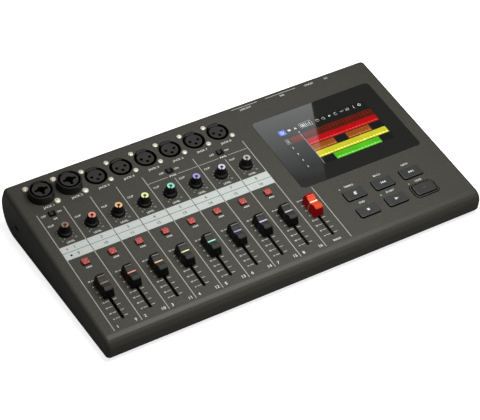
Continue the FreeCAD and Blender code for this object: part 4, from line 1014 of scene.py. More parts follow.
@dataclass
class CaseShells:
    """Upper and lower shell, feet, the screws underneath and the boards inside."""

    frame: dict
    carried: tuple[tuple[str, Finish, str], ...] = (
        ("top_case", Finishes.CASE, "case_charcoal"),
        ("bottom_case", Finishes.CASE_UNDER, "case_under"),
        ("feet", Finishes.FEET, "foot_rubber"),
        ("case_screws", Finishes.DARK_SCREW, "screw_dark"),
        ("control_board", Finishes.BOARD, "circuit_board"),
        ("main_board", Finishes.BOARD, "circuit_board"),
        ("jack_boards", Finishes.BOARD, "circuit_board"),
        ("pots", Finishes.SOCKET_STEEL, "plated_steel"),
        ("fader_units", Finishes.DARK_SCREW, "plated_steel"),
        ("switch_bodies", Finishes.SWITCH, "switch_black"),
        ("port_sockets", Finishes.SOCKET_STEEL, "plated_steel"),
        ("lcd_module", Finishes.MODULE, "screen_module"),
    )

    def build(self) -> None:
        """Carry the nodes over from the CAD with their finishes."""
        for node, finish, slot in self.carried:
            carry_over(self.frame, node, finish)


@dataclass
class Fader:
    """One fader: cap with two grip ridges and a coloured line, on a steel lever."""

    number: int
    line_colour: str
    shade_colour: str
    base_length: float = 21.4
    base_width: float = 10.4
    top_width: float = 7.8
    lift: float = 1.0
    end_height: float = 9.8
    end_taper: float = 0.0935
    ridge: float = 6.2
    ridge_height: float = 11.5
    ridge_wear: float = 0.16
    waist_height: float = 9.2
    corner: float = 1.1
    rounding: float = 0.45
    end_rounding: float = 0.3
    line_width: float = 1.25
    ridge_highlight_width: float = 0.5
    lever: Pair = (1.6, 4.4)
    carriage: Pair = (4.8, 8.0)
    lever_low: float = -7.8

    def top(self, v: np.ndarray) -> np.ndarray:
        """Height of the cap's top along its length.

        Straight from each end up to its ridge, then down a circle's arc to the waist, less a
        bell curve at the ridge.

        Args:
            v: Distances from the cap's middle.

        Returns:
            Heights above the panel.
        """
        sag = self.ridge_height - self.waist_height
        radius = (self.ridge ** 2 + sag ** 2) / (2 * sag)
        dip = self.waist_height + radius - np.sqrt(np.maximum(radius ** 2 - v ** 2, 0))
        past = np.abs(v) - self.ridge
        half_top = self.base_length / 2 * (1 - self.end_taper)
        share = np.clip(past / (half_top - self.ridge), 0, 1)
        ramp = self.ridge_height + (self.end_height - self.ridge_height) * share
        bell = self.ridge_wear * np.exp(-(past / 0.5) ** 2)
        return np.where(past < 0, np.minimum(dip, self.ridge_height), ramp) - bell

    def section(self) -> np.ndarray:
        """The cap's section: a trapezium with rounded top corners, its height run from 0 to 1."""
        half_base, half_top = self.base_width / 2, self.top_width / 2
        tall = np.array([1, 8.0])       # about the real height, for round corners
        corners = np.array([(-half_base, 0), (-half_top, 1), (half_top, 1), (half_base, 0)])
        line = soften(corners * tall, self.rounding, 6) / tall
        crown = np.linspace(line[6][0], -line[6][0], 9)[1:-1]
        return np.concatenate([line[:7], np.column_stack([crown, np.ones(len(crown))]), line[7:]])

    def cap(self) -> Shell:
        """The cap: its section carried along its length.

        The height follows top(), the ends lean in by the taper, and near each end the section
        narrows as the plan's corner rounds.

        Returns:
            The closed cap about the fader's middle.
        """
        x, f = self.section().T
        inner = self.base_length / 2 - self.corner
        ends = inner + self.corner * np.sin(np.linspace(0, math.pi / 2, 7))
        along = np.concatenate([-ends[::-1], np.linspace(-inner, inner, 61)[1:-1], ends])[:, None]
        over = np.maximum(np.abs(along) - inner, 0)
        narrow = self.corner - np.sqrt(np.maximum(self.corner ** 2 - over ** 2, 0))
        v = along * (1 - self.end_taper * f)
        width = (np.abs(x) - narrow) * np.sign(x)
        n = self.lift + f * (self.top(v) - self.lift)
        fall = self.end_rounding * (over / self.corner) ** 3 * f
        return tube(np.stack([width, v, n - fall], axis=-1), True)

    def line_inlay(self) -> Shell:
        """The coloured line: the section over the waist, set out by about 0.06 mm."""
        x, f = self.section().T
        n = self.lift + f * (self.waist_height + 0.06 - self.lift)
        half = self.line_width / 2
        return tube(np.stack([np.stack([x * 1.012, np.full(len(x), v), n], axis=-1)
                              for v in (-half, half)]), True)

    def build(self, x: float, v: float) -> None:
        """Make cap with painted lit top and ridge highlight, line with painted side shade, and lever.

        Args:
            x: The fader's middle along x.
            v: Its middle along v.
        """
        here = (x, v, 0.0)
        red = self.number > LAYOUT.channels
        body = "master_fader" if red else "fader_%d" % self.number
        finish, top, ridge_highlight = ((Finishes.CAP_RED, Finishes.CAP_RED_LIT_TOP, Finishes.CAP_RED_RIDGE_HIGHLIGHT) if red
                             else (Finishes.CAP, Finishes.CAP_LIT_TOP, Finishes.CAP_RIDGE_HIGHLIGHT))
        cap = make_piece(body + "_cap", self.cap().moved(*here), finish, body, body,
                         sharp_deg=50.0)
        # Painted light: upward faces short of the far ridge take the lit tone; the far ramp stays
        # dark.
        tint_faces(cap, top, lambda middle, normal: (
            (middle[:, 1] - v < self.ridge) & (normal[:, 2] > 0.6)))
        # Painted highlight: a pale strip just in front of the far ridge, for light caught on its
        # edge.
        reach, edge_v = self.top_width / 2 - 0.5, v + self.ridge - 0.1
        edge = stroke((x - reach, edge_v), (x + reach, edge_v), self.ridge_highlight_width)
        make_piece(body + "_edge", prism(edge, self.ridge_height - 0.4, self.ridge_height - 0.1),
                   ridge_highlight, body)
        colour = SatinPolycarbonate("line_ink_%d" % self.number, self.line_colour)
        side = SatinPolycarbonate("line_shade_%d" % self.number, self.shade_colour, 0.6,
                                  specular=0.1)
        line = make_piece(body + "_line", self.line_inlay().moved(*here), colour, body)
        # Painted shade: the line's side faces in the deep tone.
        tint_faces(line, side, lambda middle, normal: np.abs(normal[:, 0]) > 0.6)
        low = self.lever_low
        lever = merge([stacked([(0, low), (0, self.lift + 0.5)], *self.lever, 0.3, 16),
                       stacked([(0.2, low), (0, low + 0.2), (0, low + 2.2), (0.2, low + 2.4)],
                               *self.carriage, 0.4)])
        make_piece(body + "_lever", lever.moved(*here), Finishes.DARK_SCREW, body)


@dataclass
class GainKnob:
    """Gain knob: skirt, fluted grip, coloured ring on top with a gap as the pointer."""

    number: int
    colour: str
    core_colour: str
    lift: float = 0.8
    flange_radius: float = 6.4
    flange_top: float = 3.0
    grip_radius: float = 4.6
    top_radius: float = 3.95
    height: float = 10.3
    ring_outer: float = 3.42
    ring_inner: float = 1.4
    ring_depth: float = 0.4
    shaft_radius: float = 3.0
    shaft_end: float = -7.0
    pointer_deg: float = 240.0
    gap_deg: float = 26.0

    def knob(self) -> Shell:
        """Grip and skirt turned about the shaft, with flutes round both."""
        high, floor = self.height, self.height - self.ring_depth
        profile = [(0, self.shaft_end), (self.shaft_radius, self.shaft_end),
                   (self.shaft_radius, self.lift), (self.flange_radius, self.lift),
                   (self.flange_radius, self.flange_top - 0.9),
                   (self.flange_radius - 0.8, self.flange_top),
                   (self.grip_radius, self.flange_top + 0.05), (self.top_radius, high - 0.6),
                   (self.top_radius - 0.45, high), (self.ring_outer, high),
                   (self.ring_outer, floor), (self.ring_inner, floor),
                   (self.ring_inner, high - 0.05), (0, high - 0.05)]
        return turned(profile, 96, 0.18, 24, 0.22, (self.lift + 0.2, high - 0.75))

    def ring(self) -> Shell:
        """The coloured ring: a flat band round the top, open over the pointer's gap."""
        half = self.gap_deg / 2
        start = self.pointer_deg + half
        angle = np.radians(np.linspace(start, start + 360 - self.gap_deg, 40))
        inner, outer = self.ring_inner + 0.02, self.ring_outer - 0.02
        low, high = self.height - 0.45, self.height - 0.02
        corners = np.array([(inner, low), (inner, high), (outer, high), (outer, low)])
        radius, n = soften(corners, 0.12, 4, True).T
        return tube(polar(radius, angle[:, None], n), True)

    def build(self, x: float, v: float) -> None:
        """Make the knob, its ring and its dark core, partly painted shade of a recessed middle."""
        body = "gain_knob_%d" % self.number
        make_piece(body + "_grip", self.knob().moved(x, v, 0), Finishes.KNOB, body, body,
                   sharp_deg=50.0)
        colour = SatinPolycarbonate("ring_%d" % self.number, self.colour, 0.42)
        make_piece(body + "_ring", self.ring().moved(x, v, 0), colour, body)
        # The core has a deep tone of the ring's colour, darkened further as painted shade of a
        # recessed middle, which here lies nearly flush.
        core = punched(circle(x, v, self.ring_outer - 0.04, 48), [],
                       self.height - self.ring_depth, self.height - 0.03)
        shaded_core = SatinPolycarbonate("core_%d" % self.number, self.core_colour, 0.42, specular=0.2)
        make_piece(body + "_core", core, shaded_core, body)


@dataclass(frozen=True)
class PressedCap:
    """A cap that is pressed, with the lip that keeps it under the panel and its stem.

    The edge holds the inset and the depth below the top of each ring of its rounded edge.
    """

    width: float
    length: float
    corner: float
    height: float
    dish: float
    points: int
    edge: tuple[Pair, ...]
    stem_radius: float
    stem_low: float
    lip_low: float = -3.5
    lip_top: float = -2.6
    lip_growth: float = 1.6

    def shell(self) -> Shell:
        """Cap, lip and stem about the origin."""
        rings = [(0.0, self.lip_top)] + [(inset, self.height - down) for inset, down in self.edge]
        cap = stacked(rings, self.width, self.length, self.corner, self.points, self.dish)
        lip = stacked([(0, self.lip_low), (0, self.lip_top)], self.width + self.lip_growth,
                      self.length + self.lip_growth, 0.3, 16)
        stem = turned([(0, self.stem_low), (self.stem_radius, self.stem_low),
                       (self.stem_radius, self.lip_low), (0, self.lip_low)], 24)
        return merge([cap, lip, stem])


@dataclass
class ArmButton:
    """Record-arm button: a square of translucent red silicone with a crowned top."""

    number: int
    cap: PressedCap = PressedCap(6.4, 6.4, 1.0, 2.0, -0.06, 40,
                                 ((0, 0.55), (0.1, 0.25), (0.32, 0.06), (0.7, 0)), 1.6, -5.15)

    def build(self, x: float, v: float) -> None:
        """Make the button, with painted shade down its walls."""
        body = "rec_button_%d" % self.number
        pad = make_piece(body + "_pad", self.cap.shell().moved(x, v, 0), Finishes.ARM, body, body,
                         sharp_deg=45.0)
        tint_faces(pad, Finishes.ARM_WALL_SHADE, lambda middle, normal: normal[:, 2] < 0.55)


class KeySign(Enum):
    """What is printed on a transport key, and the key's body."""

    METRONOME = "metronome_key"
    REWIND = "rewind_key"
    FORWARD = "forward_key"
    STOP = "stop_key"
    PLAY = "play_key"
    RECORD = "record_key"


@dataclass
class TransportKey:
    """One transport key: a wide low key with a dished top and a printed sign."""

    sign: KeySign
    cap: PressedCap = PressedCap(20.4, 11.9, 2.3, 1.8, 0.12, 64,
                                 ((0, 0.6), (0.12, 0.28), (0.38, 0.06), (0.8, 0)), 2.2, -5.05)
    triangle: tuple[Pair, ...] = ((-1.7, -1.45), (1.9, 0.0), (-1.7, 1.45))

    def print_sign(self, x: float, v: float) -> None:
        """Print the sign on the key's top.

        Args:
            x: The key's middle along x.
            v: Its middle along v.
        """
        finish = Finishes.INK_RED_DIM if self.sign is KeySign.RECORD else Finishes.INK
        ink = Printing(self.sign.value + "_sign", finish, film=0.1, height=self.cap.height - 0.09)
        if self.sign is KeySign.PLAY:
            ink.shape(self.triangle, x, v)
        elif self.sign is KeySign.STOP:
            ink.shape(box(2.4, 2.4), x, v)
        elif self.sign is KeySign.RECORD:
            ink.dot(x, v, 1.35, 24)
        elif self.sign is KeySign.METRONOME:
            ink.shape([(-1.5, -1.7), (1.5, -1.7), (0.8, 1.8), (-0.8, 1.8)], x, v)
            ink.line(x, v - 0.2, x + 2.0, v + 1.9, 0.45)
        else:
            way = -1 if self.sign is KeySign.REWIND else 1
            for shift in (-1.55, 0.75):
                ink.shape([(way * (cx * 0.62 + shift), cv * 0.85)
                           for cx, cv in self.triangle[::way]], x, v)
            ink.line(x + way * 2.3, v - 1.25, x + way * 2.3, v + 1.25, 0.45)
        ink.build(self.sign.value)

    def build(self, x: float, v: float) -> None:
        """Make the key with a painted highlight on its bevel and painted shade on its walls, and its
        sign.
        """
        name = self.sign.value
        key = make_piece(name + "_top", self.cap.shell().moved(x, v, 0), Finishes.KEY, name, name,
                         sharp_deg=45.0)
        # Painted highlight on the bevel, painted shade on the walls.
        tint_faces(key, Finishes.KEY_EDGE_HIGHLIGHT, lambda middle, normal: (
            (normal[:, 2] > 0.3) & (normal[:, 2] < 0.97) & (middle[:, 2] > 1.0)))
        tint_faces(key, Finishes.KEY_WALL_SHADE, lambda middle, normal: normal[:, 2] <= 0.3)
        self.print_sign(x, v)


@dataclass
class Screw:
    """Pan-head screw with a cross recess."""

    head_radius: float
    head_height: float
    slot_half: float = 0.42
    slot_reach: float = 0.62
    slot_depth: float = 0.75
    dome: float = 0.5
    shank_radius: float = 1.45
    length: float = 8.0

    def shell(self, turn_deg: float) -> Shell:
        """Head and shank on a polar grid.

        The top is a ball's cap; where the point lies inside either arm of a cross, and
        within the cross's reach, it drops by the slot's depth, faded over a short step.

        Args:
            turn_deg: How far the cross is turned.

        Returns:
            The closed screw about the origin.
        """
        dome = self.head_height * self.dome
        ball = (self.head_radius ** 2 + dome ** 2) / (2 * dome)
        rings = np.concatenate([np.linspace(0, 0.9, 19), [0.96, 1.0]]) * self.head_radius
        lower = np.array([(self.head_radius, 0.05), (self.head_radius - 0.1, 0.0),
                          (self.shank_radius, 0.0), (self.shank_radius, -self.length),
                          (0.0, -self.length)])
        r, a = np.meshgrid(np.concatenate([rings, lower[:, 0]]), around(72), indexing="ij")
        turn = math.radians(turn_deg)
        near = np.minimum(np.abs(r * np.cos(a - turn)), np.abs(r * np.sin(a - turn)))
        arm = np.clip((self.slot_half - near) / 0.12 + 0.5, 0, 1)
        reach = np.clip((self.slot_reach * self.head_radius - r) / 0.25 + 0.5, 0, 1)
        n = self.head_height - (ball - np.sqrt(ball ** 2 - r ** 2)) - self.slot_depth * arm * reach
        n[len(rings):] = lower[:, 1:]
        return tube(polar(r, a, n))


@dataclass
class InputJacks:
    """The eight input jacks in a row: two raised, six flush, with latches and screws."""

    frame: dict
    combo_screws: Pair = (9.5, 12.2)
    combo_screw: Screw = field(default_factory=lambda: Screw(2.8, 2.2))
    socket_screw: Screw = field(default_factory=lambda: Screw(2.3, 1.6, 0.36))
    combo_face: float = 7.6
    combo_rim_n: float = 7.9
    combo_insert: float = 8.0
    combo_rim: Pair = (9.3, 9.95)
    socket_insert: float = 7.65
    socket_rim: Pair = (9.6, 10.35)
    groove: Pair = (7.85, 10.0)
    latch: Pair = (9.42, 9.63)
    pin_reach: float = 4.1
    pin_radius: float = 1.45
    mouth_radius: float = 3.5
    slot_half: float = 1.45
    slot_end: float = 5.0
    bridge_half_deg: float = 24.0
    latch_half_deg: float = 29.0

    def screws(self) -> None:
        """Two screws at each jack, each turned by its own amount."""
        shells = []
        places = [(x, self.combo_screws, self.combo_screw) for x in LAYOUT.combos()]
        diagonal = (LAYOUT.socket_screw / math.sqrt(2),) * 2
        places += [(x, diagonal, self.socket_screw) for x in LAYOUT.sockets()]
        for k, (x, (dx, dv), screw) in enumerate(places):
            shells.append(screw.shell(17.0 + 41 * k).moved(x - dx, LAYOUT.jack_v + dv, 0))
            shells.append(screw.shell(52.0 + 67 * k).moved(x + dx, LAYOUT.jack_v - dv, 0))
        make_piece("jack_screw_heads", merge(shells), Finishes.SCREW, CASE, "jack_screws",
                   sharp_deg=50.0)

    def shaded(self, middles: np.ndarray, normals: np.ndarray) -> np.ndarray:
        """Pick plug grooves, bores and pin holes, painted black from any side as the shade inside
        them.

        Args:
            middles: The faces' middles on the panel, shape (count, 3).
            normals: The faces' normals, same shape.

        Returns:
            For each face whether it is one of them.
        """
        jacks = np.array(LAYOUT.combos() + LAYOUT.sockets())
        along = np.abs(middles[:, :1] - jacks[None, :]).min(axis=1)
        radius = np.hypot(along, middles[:, 1] - LAYOUT.jack_v)
        n, rise = middles[:, 2], normals[:, 2]
        inside, mouth = radius < self.socket_rim[0], radius < 7.8
        wall = inside & (radius > 7.0) & (rise < 0.7)
        rim = (radius > 9.4) & (radius < self.groove[1]) & (n < 0.5)
        deep = inside & (n < -0.9)
        ledge = mouth & (np.abs(n - self.combo_face) < 0.1)
        bore = mouth & (rise < 0.9)
        return wall | rim | deep | ledge | bore

    def star(self, count: int = 144) -> np.ndarray:
        """Outline of the raised jacks' mouth: a round hole with three slots.

        Within a slot, the distance from the middle is that of the circle at the slot's end, or
        half the slot's width over the sine of the angle from the slot; elsewhere it is the
        hole's radius.

        Args:
            count: Points round it.

        Returns:
            The outline about the jack's middle, shape (count, 2).
        """
        angle = around(count)
        radius = np.full(count, self.mouth_radius)
        for way in (0.0, math.pi, 1.5 * math.pi):
            off = np.abs((angle - way + math.pi) % (2 * math.pi) - math.pi)
            rise = self.slot_end * np.sin(off)
            near = (rise <= self.slot_half) & (off < 1)
            tip = self.slot_end * np.cos(off) + np.sqrt(np.maximum(
                self.slot_half ** 2 - rise ** 2, 0))
            flank = self.slot_half / np.maximum(np.sin(off), 1e-3)
            radius = np.maximum(radius, np.where(near, tip, np.where(off < 1, flank, 0)))
        return rays(angle) * radius[:, None]

    def mouths(self) -> None:
        """Insert faces with their pin holes and slots, and black rings of painted shade round them.
        """
        plates, rings = [], []
        v, reach = LAYOUT.jack_v, self.pin_reach
        for x in LAYOUT.sockets():
            pins = [circle(x + dx, v + dv, self.pin_radius)
                    for dx, dv in ((-reach, 0), (reach, 0), (0, -reach))]
            plates.append(punched(circle(x, v, self.socket_insert, 72), pins, -1.0, -0.1))
            hole, rim = (circle(x, v, radius, 72) for radius in self.socket_rim)
            rings.append(punched(rim, [hole], -0.02, 0.03))
        for x in LAYOUT.combos():
            plates.append(punched(circle(x, v, self.combo_insert, 72), [self.star() + (x, v)],
                                  self.combo_face, self.combo_face + 0.33))
            hole, rim = (circle(x, v, radius, 72) for radius in self.combo_rim)
            rings.append(punched(rim, [hole], self.combo_rim_n, self.combo_rim_n + 0.12))
        inserts = make_piece("jack_inserts", merge(plates), Finishes.INSERT)
        # Painted shade: the inserts' walls go black.
        tint_faces(inserts, Finishes.BLACK_SHADE_AND_INK, lambda middle, normal: normal[:, 2] < 0.7)
        # Painted shade: flat black rings that widen the dark grooves round the inserts.
        make_piece("jack_groove_shade_rings", merge(rings), Finishes.BLACK_SHADE_AND_INK)

    def bridges(self) -> None:
        """The bridge over each raised jack's groove, on its far side."""
        half = self.bridge_half_deg
        make_piece("groove_bridges", merge([
            prism(band(x, LAYOUT.jack_v, *self.groove, 90 - half, 90 + half, 13), -7.0, 8.04)
            for x in LAYOUT.combos()]), Finishes.JACK)

    def build(self) -> None:
        """Carry the jacks and latches over and add their mouths, bridges and screws."""
        for node in ("combo_jacks", "xlr_jacks"):
            jacks = carry_over(self.frame, node, Finishes.JACK)
            # Painted shade in the grooves, bores and pin holes.
            tint_faces(jacks, Finishes.BLACK_SHADE_AND_INK, self.shaded)
        half = self.latch_half_deg
        for k, x in enumerate(LAYOUT.sockets()):
            name = "xlr_latch_%d" % (k + 3)
            carry_over(self.frame, name, Finishes.LATCH, name)
            # Painted highlight: a thin pale arc at the latch's rim.
            lip = band(x, LAYOUT.jack_v, *self.latch, 90 - half, 90 + half, 15)
            make_piece(name + "_lip", prism(lip, -1.5, 0.05), Finishes.LATCH_RIM_HIGHLIGHT, name)
        self.mouths()
        self.bridges()
        self.screws()


@dataclass
class PanelPrint:
    """Everything printed on the sloped panel."""

    scale: tuple[str, ...] = ("∞", "40", "20", "10", "5", "0", "5", "10")
    key_names: tuple[str, ...] = ("TEMPO", "BACK", "NEXT", "END", "START", "TAKE")
    rear_names: tuple[tuple[str, float, float], ...] = (
        ("LINE OUT", 54.0, 178.6), ("EAR", 93.5, 178.6), ("ON/OFF", 124.0, 180.4),
        ("DC", 143.0, 180.4))
    rear_lines: tuple[Pair, ...] = ((40.5, 68.0), (77.0, 110.0))
    rear_line_v: float = 181.6
    line_top: float = 143.5
    switch_line_top: float = 130.0
    master_line_top: float = 66.0
    bracket_v: float = 133.4
    dot_radius: float = 7.3
    number_v: float = 3.0
    strip_v: float = 93.05
    strip_height: float = 15.3
    upper_row: float = 97.2
    lower_row: float = 89.3
    film: float = 0.03

    def channel_lines(self, ink: Printing) -> None:
        """Separator lines, and the brackets that join two channels under one switch."""
        tops = {5: self.switch_line_top, 7: self.switch_line_top, 9: self.master_line_top}
        for k in range(LAYOUT.channels + 2):
            x = LAYOUT.line(k)
            ink.line(x, 0.0, x, tops.get(k, self.line_top), 0.68)
        for middle in LAYOUT.switches()[1:]:
            for way in (-1, 1):
                ink.line(middle + way * 4.8, self.bracket_v, middle + way * 24.8, self.bracket_v, 0.5)

    def fader_scale(self, ink: Printing, x: float) -> None:
        """Tick dashes either side of a fader's slot, with the scale's numbers."""
        step = LAYOUT.fader_travel / LAYOUT.fader_steps
        for k, text in enumerate(self.scale):
            v = LAYOUT.fader_low + step * k
            ink.line(x - 5.6, v, x - 2.1, v, 0.42)
            ink.line(x + 1.9, v, x + 5.2, v, 0.42)
            ink.word(text, x - 6.4, v, 1.5, align=Align.RIGHT)

    def knob_scale(self, ink: Printing, dim: Printing, x: float) -> None:
        """Dots round a gain knob, with its end values and the words near it.

        Args:
            ink: The pale ink.
            dim: The grey ink.
            x: The knob's middle along x.
        """
        for angle in np.radians(240.0 - 30.0 * np.arange(11)):
            ink.dot(x + self.dot_radius * math.cos(angle),
                    LAYOUT.knob_v + self.dot_radius * math.sin(angle), 0.3, 8)
        dim.word("0", x - 6.2, 107.0, 1.7)
        dim.word("10", x + 6.4, 107.0, 1.7)
        ink.word("LEVEL", x, 103.9, 1.9, 1.05)
        ink.word("CLIP", x - 7.4, 127.2, 1.9, 1.1)

    def names(self, ink: Printing) -> None:
        """The words at the jacks, switches and keys and along the rear edge."""
        for k, x in enumerate(LAYOUT.combos() + LAYOUT.sockets()):
            ink.word("JACK %d" % (k + 1), x + 0.5, 148.6, 2.1, 1.15)
        for x, text in zip(LAYOUT.switches(), ("1M", "PWR", "PWR")):
            ink.word("OFF", x - 8.2, LAYOUT.slider_v, 1.9)
            ink.word("ON", x + 7.0, LAYOUT.slider_v, 1.9)
            ink.word(text, x, self.bracket_v, 2.0, 1.1)
        for text, x, v in self.rear_names:
            ink.word(text, x, v, 1.9)
        for left, right in self.rear_lines:
            ink.line(left, self.rear_line_v, right, self.rear_line_v, 0.4)
        for (x, v), text in zip(LAYOUT.keys(), self.key_names):
            ink.word(text, x + 0.5, v + 11.2, 1.9, 1.1)

    def key_gap_shadows(self) -> None:
        """Black rings of painted shadow in the gaps round the keys, and on and round the guard rim.
        """
        key = outline(21.7, 13.2, 2.9, 64), outline(20.5, 12.0, 2.35, 64)
        gap_shadows = [punched(key[0] + place, [key[1] + place], 0.0, self.film)
                for place in LAYOUT.keys()]
        # Painted shade of the record key's guard: a ring on the rim's top by the key and one round
        # its foot.
        take = LAYOUT.keys()[5]
        width, shorter = 0.8, 8.5
        for inner, corner, n in ((24.3, 3.9, 0.0), (21.1, 2.7, 0.8)):
            hole = outline(inner, inner - shorter, corner, 64)
            rim = outline(inner + 2 * width, inner - shorter + 2 * width, corner + width, 64)
            gap_shadows.append(punched(rim + take, [hole + take], n, n + self.film))
        make_piece("key_gap_shadows", merge(gap_shadows), Finishes.BLACK_SHADE_AND_INK)

    def write_on_strip(self) -> None:
        """White two-row strip with its numbers, dots and dividing lines."""
        x0, x1, half = LAYOUT.line(0), LAYOUT.line(8), self.strip_height / 2
        strip = stacked([(0, 0), (0, 0.07), (0.05, 0.1)], x1 - x0 - 0.2, self.strip_height, 0.2, 16)
        make_piece("write_on_strip", strip.moved((x0 + x1) / 2, self.strip_v, 0), Finishes.STRIP)
        ink = Printing("strip_print", Finishes.INK_DARK, film=0.04, height=0.1)
        ink.line(x0, self.strip_v + 0.25, x1, self.strip_v + 0.25, 0.5)
        for k in range(1, LAYOUT.channels):
            ink.line(LAYOUT.line(k), self.strip_v + 0.1 - half, LAYOUT.line(k),
                     self.strip_v - 0.1 + half, 0.7)
        for k in range(LAYOUT.channels):
            ink.word(str(k + 1), LAYOUT.channel(k), self.upper_row, 2.9)
            ink.word(str(k + 9), LAYOUT.channel(k), self.lower_row, 2.9)
        ink.build()
        for name, finish, x, v, radius in (
                ("strip_print_black", Finishes.BLACK_SHADE_AND_INK, -170.7, self.lower_row + 0.1, 1.05),
                ("strip_print_red", Finishes.INK_RED, -170.9, self.upper_row, 0.95)):
            mark = Printing(name, finish, film=0.04, height=0.1)
            mark.dot(x, v, radius)
            mark.build()

    def build(self) -> None:
        """Print the lines and the pale and grey inks, add the painted shadow rings and the write-on
        strip.
        """
        ink = Printing("print_pale", Finishes.INK)
        dim = Printing("print_grey", Finishes.INK_DIM)
        lines = Printing("print_lines", Finishes.INK_LINE)
        self.channel_lines(lines)
        lines.build()
        for k in range(LAYOUT.channels):
            x = LAYOUT.channel(k)
            self.fader_scale(ink, x)
            self.knob_scale(ink, dim, x)
            ink.word("ARM", x + 0.6, 71.3, 1.7, 1.1)
            ink.word(str(k + 1), LAYOUT.line(k) + 4.5, self.number_v, 3.0)
            ink.word(str(k + 9), LAYOUT.line(k + 1) - 4.3, self.number_v, 3.0)
        self.fader_scale(ink, LAYOUT.channel(8))
        ink.word("MAIN", LAYOUT.channel(8), self.number_v, 2.0, 1.1)
        self.names(ink)
        ink.build()
        dim.build()
        self.key_gap_shadows()
        self.write_on_strip()


@dataclass(frozen=True)
class Clip:
    """One coloured clip on the screen, from left to right in a row."""

    row: int
    left: float
    right: float
    colour: str
    wave: str
    glow: float


